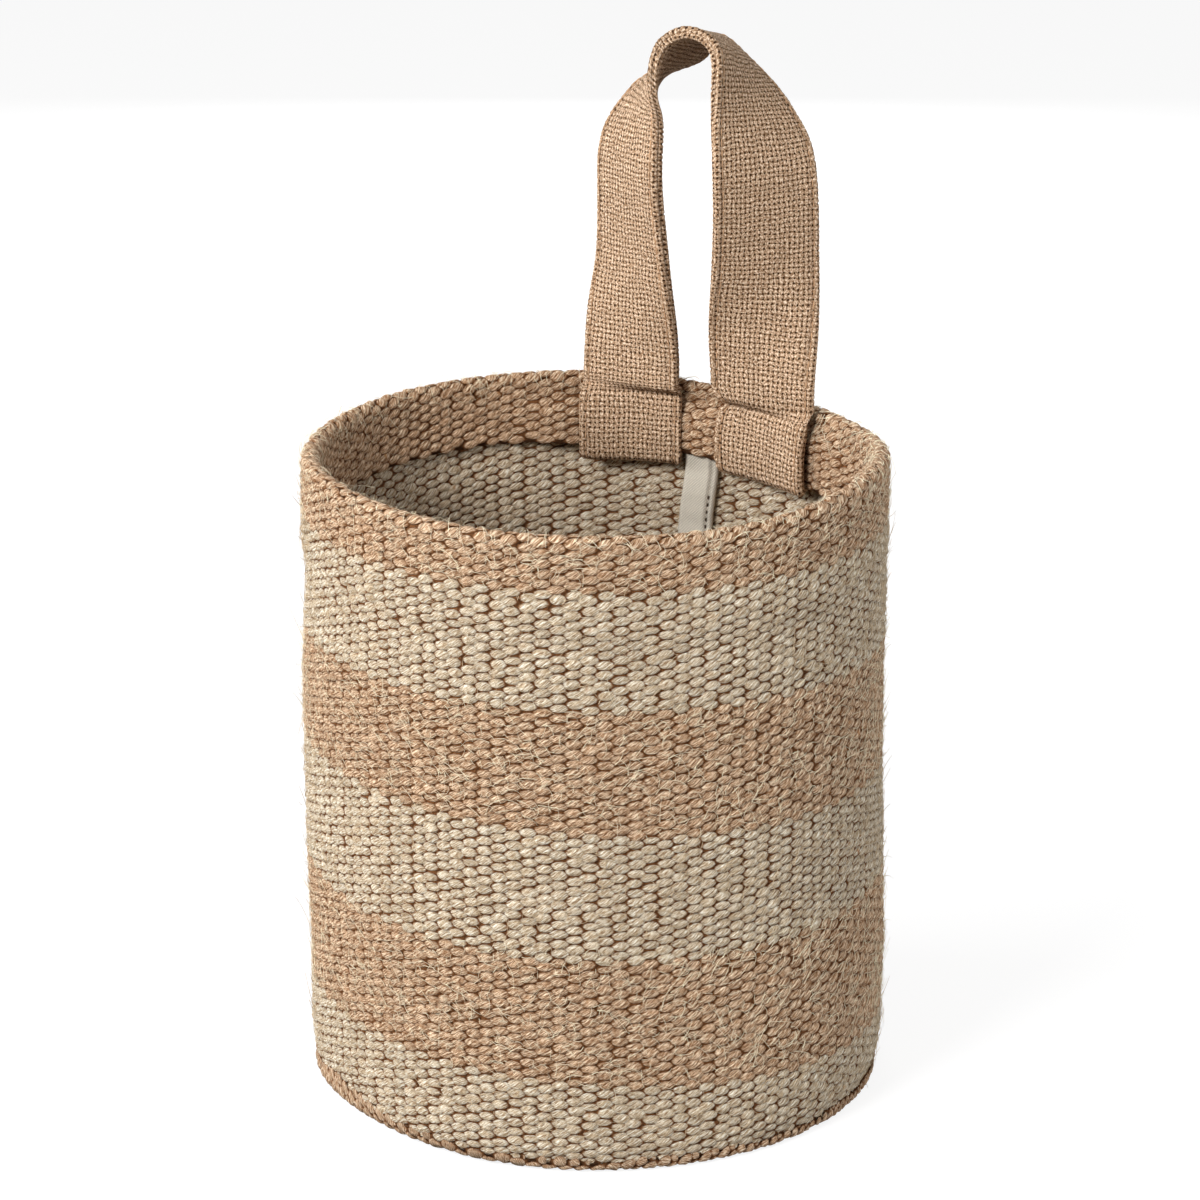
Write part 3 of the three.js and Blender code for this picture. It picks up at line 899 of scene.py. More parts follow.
def make_wall(sizes, colours):
    """The wall's wefts, in two pieces for each stripe, and its warps"""
    shape = TubShape(sizes)
    rng = np.random.default_rng(11)
    pitch = sizes.row_pitch
    edges = [LOWEST_ROW] + [line[0] for line in STRIPE_LINES]
    edges.append(sizes.rim_height - shape.crest + math.pi * shape.bend + sizes.hem_depth
                 - shape.crest - pitch / 2)
    numbers = [round(edge / pitch) for edge in edges]
    step = 2 * math.pi * sizes.wall_radius / (sizes.warp_count * STATIONS_PER_WARP)
    materials = (jute_yarn("natural_jute", natural_tints(colours), colours),
                 jute_yarn("brown_jute", brown_tints(colours), colours))
    pieces = []
    for stripe, (low, high) in enumerate(zip(numbers, numbers[1:])):
        middle = (low + high + 1) // 2
        for first, last in ((low, middle), (middle, high)):
            points, face = weave_wall_rows(sizes, shape, rng, first, last - first)
            # Face, how near the cloth's face each point lies, sets where the yarns' shade is painted
            pieces.append(make_tubes(
                f"wall_weft_{len(pieces) + 1:02d}", points, materials[stripe % 2],
                step, WEFT_GIRTH, BAKE_ARCS, closed=True, values=(("Face", face),)))
    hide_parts("wall_panel")
    make_warps(sizes, colours, shape, edges[0], numbers[-1] * pitch)


def make_warps(sizes, colours, shape, bottom, top):
    """The warps, close together: one ribbed layer in the cloth's middle, seen between the wefts"""
    around = sizes.warp_count * WARP_STATIONS
    turn = ring_angles(around)[:, None]
    up = np.linspace(bottom, top - sizes.row_pitch, WARP_ROWS)
    height = np.concatenate([up, up[::-1]])
    side = np.repeat([1, -1], WARP_ROWS)
    rib = np.abs(np.cos(sizes.warp_count * turn / 2)) ** 1.5
    points = shape.place(turn, height, side * (WARP_HALF + WARP_RIB * rib))
    make_tubes("wall_warps", points[None], warp_jute(colours),
               2 * math.pi * sizes.wall_radius / around, 2 * (top - bottom), BAKE_ARCS, closed=True)


def row_ends(shape, y, reach):
    """How far a row of the base runs to the left and to the right before the cut edge"""
    x = np.linspace(0, reach, BASE_END_STEPS)
    return [x[np.hypot(x, y) <= shape.edge(np.arctan2(side * x, -y))].max(initial=0)
            for side in (-1, 1)]


def make_base(sizes, colours):
    """The base's wefts, in a front and a back piece"""
    shape = BaseShape(sizes, TubShape(sizes))
    rng = np.random.default_rng(13)
    pitch = sizes.row_pitch
    warp = 2 * math.pi * sizes.wall_radius / sizes.warp_count
    reach = shape.flat + BASE_MARGIN
    material = jute_yarn("base_jute", brown_tints(colours), colours)
    number = int(reach / pitch)
    share = np.linspace(0, 1, BASE_STATIONS)
    for name, rows in (("base_weft_front", np.arange(-number, 0)),
                       ("base_weft_back", np.arange(0, number + 1))):
        ends = np.array([row_ends(shape, y, reach) for y in rows * pitch])
        kept = ends.min(axis=1) > warp
        rows = rows[kept][:, None]
        left, right = ends[kept][:, :1], ends[kept][:, 1:]
        x = -left + (left + right) * share
        into = np.clip(np.minimum(x + left, right - x) / BASE_TAPER, 0, 1)
        taper = np.sqrt(np.clip(1 - (1 - into) ** 2, 0.02, 1))
        phase = math.pi * (x / warp + rows)
        size = 1 + BASE_SIZE_STRAY * value_noise(rng, len(rows), BASE_STRAYS, share * BASE_STRAYS)
        rise, proud = weft_section(phase, np.clip(size, *SIZE_LIMITS), BASE_YARN_SIDES)
        y = rows[..., None] * pitch + rise * taper[..., None]
        points = shape.place(x[..., None] + 0 * y, y, proud)
        # Face, how near the cloth's face each point lies, sets where the yarns' shade is painted
        make_tubes(
            name, points, material, 2 * reach / BASE_STATIONS, BASE_WEFT_GIRTH,
            values=(("Face", np.abs(proud) / shape.middle),))
    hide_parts("base_disc")


def strap_outline(sizes, step):
    """The strap's section: places across, places through, and the way out of the face"""
    half, edge = sizes.strap_thickness / 2, sizes.strap_width / 2
    ply = half / 2
    face = np.linspace(-edge + ply, edge - half, round((sizes.strap_width - ply - half) / step))
    fold = np.linspace(math.pi / 2, -math.pi / 2, 11)[1:-1]
    parts = [
        (face, half + 0 * face, 0 * face, 1 + 0 * face),
        (edge - half + half * np.cos(fold), half * np.sin(fold), np.cos(fold), np.sin(fold)),
        (face[::-1], -half + 0 * face, 0 * face, -1 + 0 * face),
    ]
    turn = np.linspace(-math.pi / 2, -1.5 * math.pi, 6)
    for middle, ply_turn in ((-ply, turn[1:]), (ply, turn[1:-1])):
        parts.append((-edge + ply + ply * np.cos(ply_turn), middle + ply * np.sin(ply_turn),
                      np.cos(ply_turn), np.sin(ply_turn)))
    return [np.concatenate(column) for column in zip(*parts)]


def plain_weave(u, v):
    """Height of a plain weave's face, from 0 in its holes to 1 on its threads, at places
    measured in threads"""
    odd = (np.round(u) + np.round(v)) % 2
    along, across = np.abs(np.cos(math.pi * u)), np.abs(np.cos(math.pi * v))
    even_thread = across ** THREAD_POWER * (1 - THREAD_SINK + THREAD_SINK * along)
    odd_thread = along ** THREAD_POWER * (1 - THREAD_SINK + THREAD_SINK * across)
    return np.where(odd > 0.5, odd_thread, even_thread)


def make_strap(sizes, colours):
    """The strap as one cloth, its threads and its dented seams in its shape"""
    shape = StrapShape(sizes, TubShape(sizes))
    pitch = sizes.strap_thread
    step = pitch / STEPS_PER_THREAD
    across, through, out_across, out_through = strap_outline(sizes, step)
    along = np.arange(STRAP_START, shape.length - STRAP_START, step)
    closing = math.hypot(across[0] - across[-1], through[0] - through[-1])
    girth = np.concatenate([[0], np.cumsum(np.hypot(np.diff(across), np.diff(through)))])
    whole = girth[-1] + closing
    threads = round(whole / pitch / 2) * 2
    rng = np.random.default_rng(16)
    run = along / pitch
    strip = np.append(girth, whole) * threads / whole
    u, v = run[:, None], strip[None, :]
    for stray, u_threads, v_threads in THREAD_STRAYS:
        u = u + stray * cloth_noise(rng, run / u_threads[0], strip / u_threads[1])
        v = v + stray * cloth_noise(rng, run / v_threads[0], strip / v_threads[1])
    weave = plain_weave(u, v)[:, :-1]
    seam = sizes.strap_width / 2 - STRAP_SEAM_INSET
    line = bump_over(np.abs(across), seam, SEAM_REACH)
    sway = STRAP_STRAY * value_noise(rng, 1, int(run[-1] / STRAY_THREADS) + 2, run / STRAY_THREADS).T
    relief = STRAP_RELIEF * (weave - WEAVE_MEAN) - SEAM_DENT * line * np.abs(out_through)
    relief = relief + EDGE_SWELL * np.clip(np.abs(across) - seam, 0, None) / STRAP_SEAM_INSET
    points = shape.place(along[:, None], across + out_across * relief + sway,
                         through + out_through * relief)
    quads, row, ks, ms = tube_quads(1, len(along), len(across), False)
    cloth = np.stack([u[ks, ms], v[ks, ms]], axis=-1)
    bake = bake_places(row, ks, ms, 1, len(along) - 1, len(across), STRAP_ARCS, STRAP_MARGIN)
    strap = make_piece("strap", points, quads, strap_cloth(colours),
                       uvs=(("Cloth", cloth), ("OFBake", bake)))
    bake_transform(strap)
    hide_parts("strap_end_left", "strap_end_right", "strap_loop")


def make_strap_stitches(sizes, colours):
    """Topstitching along both edges of the strap, on both faces"""
    shape = StrapShape(sizes, TubShape(sizes))
    edge = sizes.strap_width / 2 - STRAP_SEAM_INSET
    half = sizes.strap_thickness / 2
    count = int((shape.length - 2 * TOPSTITCH_START) / sizes.stitch)
    starts = TOPSTITCH_START + np.arange(count) * sizes.stitch
    share = np.linspace(0, 1, STITCH_STATIONS)
    beta = ring_angles(THREAD_SIDES)
    run = starts[:, None, None] + share[:, None] * sizes.stitch * TOPSTITCH_SHOWN
    bow = np.sqrt(np.sin(math.pi * np.clip(share, 0.03, 0.97)))[:, None]
    sets = []
    for across in (-edge, edge):
        for face in (-1, 1):
            side = across + TOPSTITCH_HALF * bow * np.cos(beta)
            over = TOPSTITCH_BOW * bow + TOPSTITCH_HALF * bow * np.sin(beta) - TOPSTITCH_SINK
            sets.append(shape.place(run, side, face * (half + over)))
    threads = make_tubes("strap_topstitch", np.concatenate(sets),
                         plain_yarn("sewing_thread", colours.thread),
                         step=0.0006, girth=0.0018, body=None)
    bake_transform(threads)


def make_tapes(sizes, colours):
    material = tape_cloth(colours)
    make_wall_tape(sizes, colours, material)
    make_base_tape(sizes, material)


def tape_section(half, thick):
    """The wall's tape from above: places across it, and how far they stand off the wall"""
    turn = np.linspace(0, math.pi, 9)
    right, left = turn[:5], turn[4:]
    flat = np.linspace(half - TAPE_CORNER, -half + TAPE_CORNER, TAPE_FACETS + 2)[1:-1]
    back = np.linspace(-half, half, TAPE_FACETS + 2)[1:-1]
    thick_flat = np.full(TAPE_FACETS, thick)
    across = np.concatenate([half - TAPE_CORNER + TAPE_CORNER * np.cos(right), flat,
                             -half + TAPE_CORNER + TAPE_CORNER * np.cos(left), back])
    proud = np.concatenate([thick - TAPE_CORNER + TAPE_CORNER * np.sin(right), thick_flat,
                            thick - TAPE_CORNER + TAPE_CORNER * np.sin(left), 0 * back])
    return across, proud


def on_seam(shape, across, seat, height):
    """Angle from the back and radius of a place on the wall's tape, which leans to one side below
    the hem and is pulled with the rim"""
    sunk = shape.hem_foot - height
    lean = -TAPE_LEAN * smooth(sunk, *TAPE_LEAN_GROWS) * (1 - smooth(sunk, *TAPE_LEAN_FADES))
    angle = (across + lean) / seat
    return angle, seat + shape.pull(angle, height)


def make_wall_tape(sizes, colours, material):
    """The tape over the wall's upright seam, and the stitches sunk along its right edge"""
    shape = TubShape(sizes)
    rng = np.random.default_rng(14)
    half, thick = sizes.tape_width / 2, sizes.tape_thickness
    backing = sizes.cloth + sizes.sewn_gap
    across, proud = tape_section(half, thick)
    height = np.arange(TAPE_START, shape.hem_foot + TAPE_OVER_HEM, TAPE_STEP)
    wave = TAPE_WAVE * value_noise(rng, 1, TAPE_WAVES, height / TAPE_WAVE_RUN)[0][:, None]
    z = height[:, None] + 0 * across
    holes = 0.5 + 0.5 * np.cos(2 * math.pi * z / TAPE_STITCH)
    line = bump_over(across, half - TAPE_SEAM_INSET, TAPE_DENT_REACH)
    line = line * (TAPE_DENT + TAPE_HOLE_DENT * holes)
    drop_start, drop_end = TAPE_DROP_RUN
    step_down = TAPE_DROP * smooth(across, half - drop_start, half - drop_end)
    seat = shape.face(z) - backing - proud + (line + step_down - wave) * (proud > thick / 2)
    angle, radius = on_seam(shape, across, seat, z)
    tape = make_tubes("seam_tape", ring_points(radius, math.pi - angle, z)[None], material,
                      TAPE_STEP, girth=0.034)
    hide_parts("back_seam_binding")
    number = np.arange(int(TAPE_SEAM_RUN / TAPE_STITCH))
    start = TAPE_START + TAPE_STITCH * 0.8 + number[:, None] * TAPE_STITCH
    run = start + np.linspace(0, TAPE_STITCH_SHOWN, TAPE_STITCH_STATIONS)
    seat = shape.face(run) - backing - thick + TAPE_STITCH_SINK
    angle, radius = (part[..., None] for part in on_seam(shape, half - TAPE_SEAM_INSET, seat, run))
    beta = ring_angles(THREAD_SIDES)
    angle = angle + TAPE_STITCH_HALF * np.cos(beta) / seat[..., None]
    radius = radius - TAPE_STITCH_HALF * np.sin(beta)
    make_tubes("tape_stitches", ring_points(radius, math.pi - angle, run[..., None]),
               plain_yarn("tape_thread", colours.tape_thread),
               step=0.0004, girth=0.0019)


def make_base_tape(sizes, material):
    """The lumpy tape round the inside of the base's seam, in the place that its solid has"""
    low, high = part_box("base_seam_binding")
    thick, tall = sizes.tape_thickness, high[2] - low[2]
    turn = ring_angles(BASE_TAPE_STATIONS)[:, None]
    beta = ring_angles(BASE_TAPE_SIDES)
    across, up = (np.sign(wave) * np.abs(wave) ** BASE_TAPE_POWER
                  for wave in (np.cos(beta), np.sin(beta)))
    quick, slow = BASE_TAPE_WAVES
    lump = BASE_TAPE_LUMP * np.sin(quick * turn) * np.sin(slow * turn)
    radius = high[0] - thick / 2 + across * thick / 2 * (1 + lump)
    points = ring_points(radius, turn, (low[2] + high[2]) / 2 + up * tall / 2)
    tape = make_tubes("base_tape", points[None], material, step=0.0014, girth=0.028,
                      arcs=BAKE_ARCS, closed=True)
    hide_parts("base_seam_binding")


def make_fibres(sizes, colours):
    """Stray fibres that stand off the wall"""
    shape = TubShape(sizes)
    rng = np.random.default_rng(15)
    share = np.linspace(0, 1, FIBRE_STATIONS)
    thick = FIBRE_HALF * (1 - 0.6 * share)[:, None]
    beta = ring_angles(FIBRE_SIDES)
    kinds = (("natural_fibres", sizes.natural_fibres, plain_yarn("natural_fibre", colours.natural)),
             ("brown_fibres", sizes.brown_fibres, plain_yarn("brown_fibre", colours.brown_light)))
    for index, (name, count, material) in enumerate(kinds):
        height = stripe_heights(rng, count, index, sizes.rim_height + FIBRES_OVER_RIM)
        turn = rng.uniform(0, 2 * math.pi, count)[:, None]
        length = FIBRE_LEAST + rng.gamma(2.0, FIBRE_SPREAD, count)[:, None]
        lean = rng.normal(0.6, 1.0, count)[:, None]
        curl = rng.normal(0, 1.3, count)[:, None]
        out = FIBRE_STAND * rng.uniform(0, 1, count)[:, None] ** 2.5
        heading = lean + curl * share
        step = length / (FIBRE_STATIONS - 1)
        du = np.cumsum(np.cos(heading) * step, axis=1)
        dv = np.cumsum(np.sin(heading) * step, axis=1)
        bow = FIBRE_BOW * np.sin(math.pi * share)
        lift = FIBRE_LIFT + bow + out * length * share ** 1.4
        points = shape.place(
            turn[..., None] + (du[..., None] + thick * np.cos(beta)) / sizes.wall_radius,
            height[:, None, None] + dv[..., None] + thick * np.sin(beta),
            lift[..., None] + thick * np.cos(beta + 1))
        quads = tube_quads(count, FIBRE_STATIONS, FIBRE_SIDES, False)[0]
        make_piece(name, points, quads, material, "tub")


def stripe_heights(rng, count, index, top):
    """Random heights on the stripes of one colour: index 0 for the natural one, 1 for the brown"""
    edges = [LOWEST_FIBRE] + [line[0] for line in STRIPE_LINES] + [top]
    spans = list(zip(edges, edges[1:]))[index::2]
    lows = np.array([low for low, _ in spans])
    talls = np.array([high - low for low, high in spans])
    chosen = rng.choice(len(spans), count, p=talls / talls.sum())
    return lows[chosen] + rng.uniform(0, 1, count) * talls[chosen]


def new_material(name):
    """A material of dry cloth, whose colour and grain are set by finish_cloth"""
    material = bpy.data.materials.new(name)
    material.use_nodes = True
    tree = material.node_tree
    tree.nodes.clear()
    output = tree.nodes.new("ShaderNodeOutputMaterial")
    shader = tree.nodes.new("ShaderNodeBsdfPrincipled")
    shader.inputs["Roughness"].default_value = CLOTH_ROUGHNESS
    shader.inputs["Specular IOR Level"].default_value = CLOTH_SHINE
    tree.links.new(shader.outputs[0], output.inputs[0])
    return material, tree, shader


def finish_cloth(tree, shader, tint, height=None, depth=0.0, strength=1.0):
    """Gives a cloth its colour, and the grain of a height up to a depth in metres"""
    tree.links.new(tint, shader.inputs["Base Color"])
    if height is not None:
        bump = node(tree, "ShaderNodeBump", {"Strength": strength, "Distance": depth, "Height": height})
        tree.links.new(bump.outputs[0], shader.inputs["Normal"])


def node(tree, kind, inputs=(), **settings):
    made = tree.nodes.new(kind)
    for key, value in settings.items():
        setattr(made, key, value)
    for key, value in dict(inputs).items():
        fill(tree, made.inputs[key], value)
    return made


def fill(tree, socket, value):
    """Links a socket to another node's, or sets its value"""
    if isinstance(value, bpy.types.NodeSocket):
        tree.links.new(value, socket)
    else:
        socket.default_value = value


def math_node(tree, operation, a, b=None, c=None):
    inputs = {k: v for k, v in enumerate((a, b, c)) if v is not None}
    return node(tree, "ShaderNodeMath", inputs, operation=operation).outputs[0]


def mix_colour(tree, factor, a, b, blend="MIX"):
    made = node(tree, "ShaderNodeMix", data_type="RGBA", blend_type=blend)
    for name, value in (("Factor_Float", factor), ("A_Color", a), ("B_Color", b)):
        if isinstance(value, tuple):
            value = (*value, 1)
        fill(tree, next(s for s in made.inputs if s.identifier == name), value)
    return next(s for s in made.outputs if s.identifier == "Result_Color")


def level(tree, value, low, high, to_low=0.0, to_high=1.0):
    return node(tree, "ShaderNodeMapRange",
                {0: value, 1: low, 2: high, 3: to_low, 4: to_high}).outputs[0]


def natural_tints(colours):
    return tuple(colours.natural_dark), tuple(colours.natural), tuple(colours.natural_light)


def brown_tints(colours):
    return tuple(colours.brown_dark), tuple(colours.brown), tuple(colours.brown_light)


def scaled(tint, share):
    """A colour times a share: one below 1 darkens it"""
    return tuple(min(1, part * share) for part in tint)


def cloth_map(tree, name):
    return node(tree, "ShaderNodeUVMap", uv_map=name).outputs[0]


def turned(tree, uv, angle):
    return node(tree, "ShaderNodeMapping", {"Vector": uv, "Rotation": (0, 0, angle)}).outputs[0]


def noise(tree, vector, scale, detail, roughness=0.5):
    return node(tree, "ShaderNodeTexNoise", {"Vector": vector, "Scale": scale, "Detail": detail,
                                             "Roughness": roughness}).outputs[0]


def drawn_noise(tree, vector, grain, detail=3.0):
    """Noise whose grains have a length along X and a breadth along Y, in millimetres"""
    scale = (1 / grain[0], 1 / grain[1], 1)
    drawn = node(tree, "ShaderNodeMapping", {"Vector": vector, "Scale": scale})
    return noise(tree, drawn.outputs[0], 1.0, detail, 0.6)


def bands(tree, vector, pitch, way, inputs):
    """Smooth bands at a pitch in millimetres, along X or Y"""
    inputs = {"Vector": vector, "Scale": WAVE_PERIOD / pitch, **inputs}
    return node(tree, "ShaderNodeTexWave", inputs, wave_type="BANDS",
                bands_direction=way).outputs["Fac"]


def three_tints(tree, value, tints, middle=0.45):
    """Dark, middle and light tints along a value from 0 to 1"""
    dark, mean, light = tints
    lower = mix_colour(tree, level(tree, value, 0.05, middle), dark, mean)
    return mix_colour(tree, level(tree, value, middle, 0.88), lower, light)


def shaded(tree, colour, value, low, high):
    """A colour times a shade from low to high, which a noise's value chooses"""
    shade = level(tree, value, 0.3, 0.7, low, high)
    grey = node(tree, "ShaderNodeCombineColor", {0: shade, 1: shade, 2: shade}).outputs[0]
    return mix_colour(tree, 1.0, colour, grey, "MULTIPLY")


def jute_yarn(name, tints, colours):
    """A yarn of twisted strands with fine fibres, with painted shade on it: orange on its sides and
    near black in its depths where it lies deep in the cloth
    """
    material, tree, shader = new_material(name)
    uv = cloth_map(tree, "Yarn")
    face = node(tree, "ShaderNodeAttribute", attribute_name="Face").outputs["Fac"]
    along = turned(tree, uv, -STRAND_LEAN)
    strands = bands(tree, along, STRAND_PITCH, "Y",
                    {"Distortion": 4.0, "Detail": 3.0, "Detail Scale": 1.5})
    fibres = level(tree, drawn_noise(tree, along, FIBRE_GRAIN, 4.0), 0.33, 0.67)
    streaks = level(tree, drawn_noise(tree, along, STREAK_GRAIN, 2.0), 0.34, 0.66)
    value = math_node(tree, "MULTIPLY", fibres, FIBRE_SHARE)
    value = math_node(tree, "MULTIPLY_ADD", strands, STRAND_SHARE, value)
    value = math_node(tree, "MULTIPLY_ADD", streaks, STREAK_SHARE, value)
    value = level(tree, value, 0.2, 0.8)
    # The tints follow the bump's value: the fibres' own uneven tone, with painted shade in the grooves
    # and painted highlight on the tops
    body = three_tints(tree, value, tints)
    body = shaded(tree, body, drawn_noise(tree, uv, SHADE_GRAIN, 2.0), 0.84, 1.06)
    lump = drawn_noise(tree, turned(tree, uv, 1.0), LUMP_GRAIN, 1.0)
    body = mix_colour(tree, level(tree, lump, 0.74, 0.80, 0.0, 0.8), body, tuple(colours.slub))
    # Painted shade: where the yarn lies deep in the cloth, its colour turns to the orange edge and then
    # to the near-black gap, made uneven by the fibres
    depth = mix_colour(tree, level(tree, face, 0.12, 0.42), tuple(colours.gap), tuple(colours.edge))
    uneven = math_node(tree, "MULTIPLY_ADD", fibres, 0.12, face)
    tint = mix_colour(tree, level(tree, uneven, 0.44, 0.62), depth, body)
    finish_cloth(tree, shader, tint, value, depth=0.00034)
    return material


def warp_jute(colours):
    """The warps that show between the wefts: fine upright fibres, tinted with the painted shade between
    the yarns, partly their own orange-brown
    """
    material, tree, shader = new_material("warp_jute")
    fibres = drawn_noise(tree, turned(tree, cloth_map(tree, "Yarn"), math.pi / 2), WARP_GRAIN)
    # Painted shade: the warps' colour runs from the near-black gap to the orange edge, darker than
    # their own brown, as shade between the wefts
    tint = mix_colour(tree, level(tree, fibres, 0.35, 0.62), tuple(colours.gap), tuple(colours.edge))
    finish_cloth(tree, shader, tint, fibres, depth=0.0003, strength=0.8)
    return material


def plain_yarn(name, tint):
    """A thread or fibre of one tint, a little uneven"""
    material, tree, shader = new_material(name)
    where = node(tree, "ShaderNodeTexCoord").outputs["Object"]
    share = level(tree, noise(tree, where, 600.0, 2.0), 0.35, 0.65)
    finish_cloth(tree, shader, mix_colour(tree, share, scaled(tint, 0.75), scaled(tint, 1.15)))
    return material


def weave_nodes(tree, uv):
    """A plain weave in threads: its height, and 1 near the holes at the threads' corners"""
    parts = node(tree, "ShaderNodeSeparateXYZ", {0: uv}).outputs
    waves, numbers = [], []
    for part in parts[:2]:
        turn = math_node(tree, "MULTIPLY", part, math.pi)
        waves.append(math_node(tree, "ABSOLUTE", math_node(tree, "COSINE", turn)))
        numbers.append(math_node(tree, "FLOOR", math_node(tree, "ADD", part, 0.5)))
    positive = math_node(tree, "ADD", math_node(tree, "ADD", *numbers), 1000.0)
    odd = math_node(tree, "MODULO", positive, 2.0)
    heights = []
    for side, length in (waves[::-1], waves):
        sunk = math_node(tree, "MULTIPLY_ADD", length, THREAD_SINK, 1 - THREAD_SINK)
        heights.append(math_node(tree, "MULTIPLY", math_node(tree, "POWER", side, THREAD_POWER), sunk))
    gap = math_node(tree, "SUBTRACT", heights[1], heights[0])
    height = math_node(tree, "MULTIPLY_ADD", gap, odd, heights[0])
    hole = level(tree, math_node(tree, "MAXIMUM", *waves), 0.40, 0.66, 1.0, 0.0)
    return height, hole


def strap_cloth(colours):
    """The strap's finer jute, over its own uneven grain: its threads' tops painted light as a
    highlight, their sides and the holes painted dark as shade
    """
    material, tree, shader = new_material("strap_jute")
    uv = cloth_map(tree, "Cloth")
    height, hole = weave_nodes(tree, uv)
    grain = level(tree, noise(tree, uv, 2.6, 5.0, 0.75), 0.33, 0.67)
    # Painted shade and highlight: about a third of the tint follows the weave's height, lighter on the
    # threads' tops and darker on their sides; the rest is the cloth's own grain
    value = math_node(tree, "MULTIPLY_ADD", height, 0.32, math_node(tree, "MULTIPLY", grain, 0.68))
    tints = (tuple(colours.strap_dark), tuple(colours.strap), tuple(colours.strap_light))
    body = three_tints(tree, level(tree, value, 0.30, 0.88), tints, 0.5)
    patches = noise(tree, uv, 0.3, 4.0)
    body = shaded(tree, body, patches, 0.9, 1.06)
    # Painted shade in the holes at the threads' corners, more open in some patches than in others
    painted_hole_shade = math_node(tree, "MULTIPLY", hole, level(tree, patches, 0.25, 0.5, 0.7, 1.0))
    tint = mix_colour(tree, painted_hole_shade, body, tuple(colours.strap_hole_shade))
    finish_cloth(tree, shader, tint, value, depth=0.0004, strength=0.7)
    return material


def tape_cloth(colours):
    """Pale cotton tape with fine ribs that cross"""
    material, tree, shader = new_material("cotton_tape")
    uv = cloth_map(tree, "Yarn")
    waves = [bands(tree, turned(tree, uv, lean), pitch, "X", {"Distortion": 0.8})
             for lean, pitch in ((0.9, 0.75), (-0.6, 0.95))]
    ribs = math_node(tree, "MULTIPLY", *waves)
    body = mix_colour(tree, level(tree, ribs, 0.0, 0.6), scaled(colours.tape, 0.72),
                      scaled(colours.tape, 1.12))
    body = shaded(tree, body, noise(tree, uv, 0.8, 4.0), 0.92, 1.04)
    finish_cloth(tree, shader, body, ribs, depth=0.0002, strength=0.6)
    return material


def seen_by_camera(tree):
    """1 where the camera, or a glossy or clear surface, sees this, and 0 where it only lights"""
    path = node(tree, "ShaderNodeLightPath").outputs
    glossy_or_clear = math_node(tree, "MAXIMUM", path["Is Glossy Ray"], path["Is Transmission Ray"])
    return math_node(tree, "MAXIMUM", path["Is Camera Ray"], glossy_or_clear)


def make_floor():
    """A pale floor that glows for the camera alone, and gives back a little light to the basket"""
    material = bpy.data.materials.new("pale_floor")
    material.use_nodes = True
    tree = material.node_tree
    tree.nodes.clear()
    seen = seen_by_camera(tree)
    tint = mix_colour(tree, seen, (FLOOR_TO_BASKET,) * 3, (FLOOR_TO_CAMERA,) * 3)
    diffuse = node(tree, "ShaderNodeBsdfDiffuse", {"Color": tint})
    strength = math_node(tree, "MULTIPLY", seen, FLOOR_LIGHT)
    glow = node(tree, "ShaderNodeEmission", {"Color": (1, 1, 1, 1), "Strength": strength})
    added = node(tree, "ShaderNodeAddShader", {0: diffuse.outputs[0], 1: glow.outputs[0]})
    node(tree, "ShaderNodeOutputMaterial", {0: added.outputs[0]})
    half = FLOOR_SIZE / 2
    mesh = bpy.data.meshes.new("floor")
    mesh.from_pydata([(-half, -half, 0), (half, -half, 0), (half, half, 0), (-half, half, 0)], [],
                     [(0, 1, 2, 3)])
    mesh.materials.append(material)
    floor = bpy.data.objects.new("floor", mesh)
    floor.location.z = -FLOOR_DROP
    bpy.context.scene.collection.objects.link(floor)


def make_world():
    """A background that the camera sees white, and that lights the basket softly"""
    world = bpy.data.worlds.new("studio")
    world.use_nodes = True
    bpy.context.scene.world = world
    tree = world.node_tree
    tree.nodes.clear()
    strength = level(tree, seen_by_camera(tree), 0.0, 1.0, WORLD_LIGHT, 1.0)
    background = node(tree, "ShaderNodeBackground", {"Color": (1, 1, 1, 1), "Strength": strength})
    node(tree, "ShaderNodeOutputWorld", {0: background.outputs[0]})


def make_lamp(name, place, size, power):
    """A round lamp that points at the basket"""
    data = bpy.data.lights.new(name, "AREA")
    data.shape = "DISK"
    data.size = size
    data.energy = power
    lamp = bpy.data.objects.new(name, data)
    lamp.location = place
    way = np.array(LAMP_AIM) - np.array(place)
    lamp.rotation_euler = (math.atan2(math.hypot(way[0], way[1]), -way[2]), 0,
                           math.atan2(way[1], way[0]) - math.pi / 2)
    bpy.context.scene.collection.objects.link(lamp)


def round_camera(across, away, up):
    """A place given in the photograph's own directions, in the row's frame"""
    cos, sin = math.cos(CAMERA_TURN), math.sin(CAMERA_TURN)
    return (across * cos - away * sin, across * sin + away * cos, up)


def make_camera():
    """The camera, where the photograph was taken from"""
    data = bpy.data.cameras.new("camera")
    data.lens = CAMERA_LENS
    data.sensor_width = CAMERA_SENSOR
    data.shift_x = CAMERA_SHIFT
    data.clip_start = 0.1
    camera = bpy.data.objects.new("camera", data)
    camera.location = CAMERA_PLACE
    camera.rotation_euler = (math.pi / 2 - CAMERA_PITCH, 0, CAMERA_TURN)
    scene = bpy.context.scene
    scene.collection.objects.link(camera)
    scene.camera = camera
    scene.view_settings.view_transform = "Standard"


class BASKET_OT_weave_wall(Operator):
    """Weave the wall's striped cloth, with its folded hem"""

    bl_idname = "basket.weave_wall"
    bl_label = "Weave Wall"

    def execute(self, context):
        make_wall(context.scene.basket_sizes, context.scene.basket_colours)
        return {"FINISHED"}


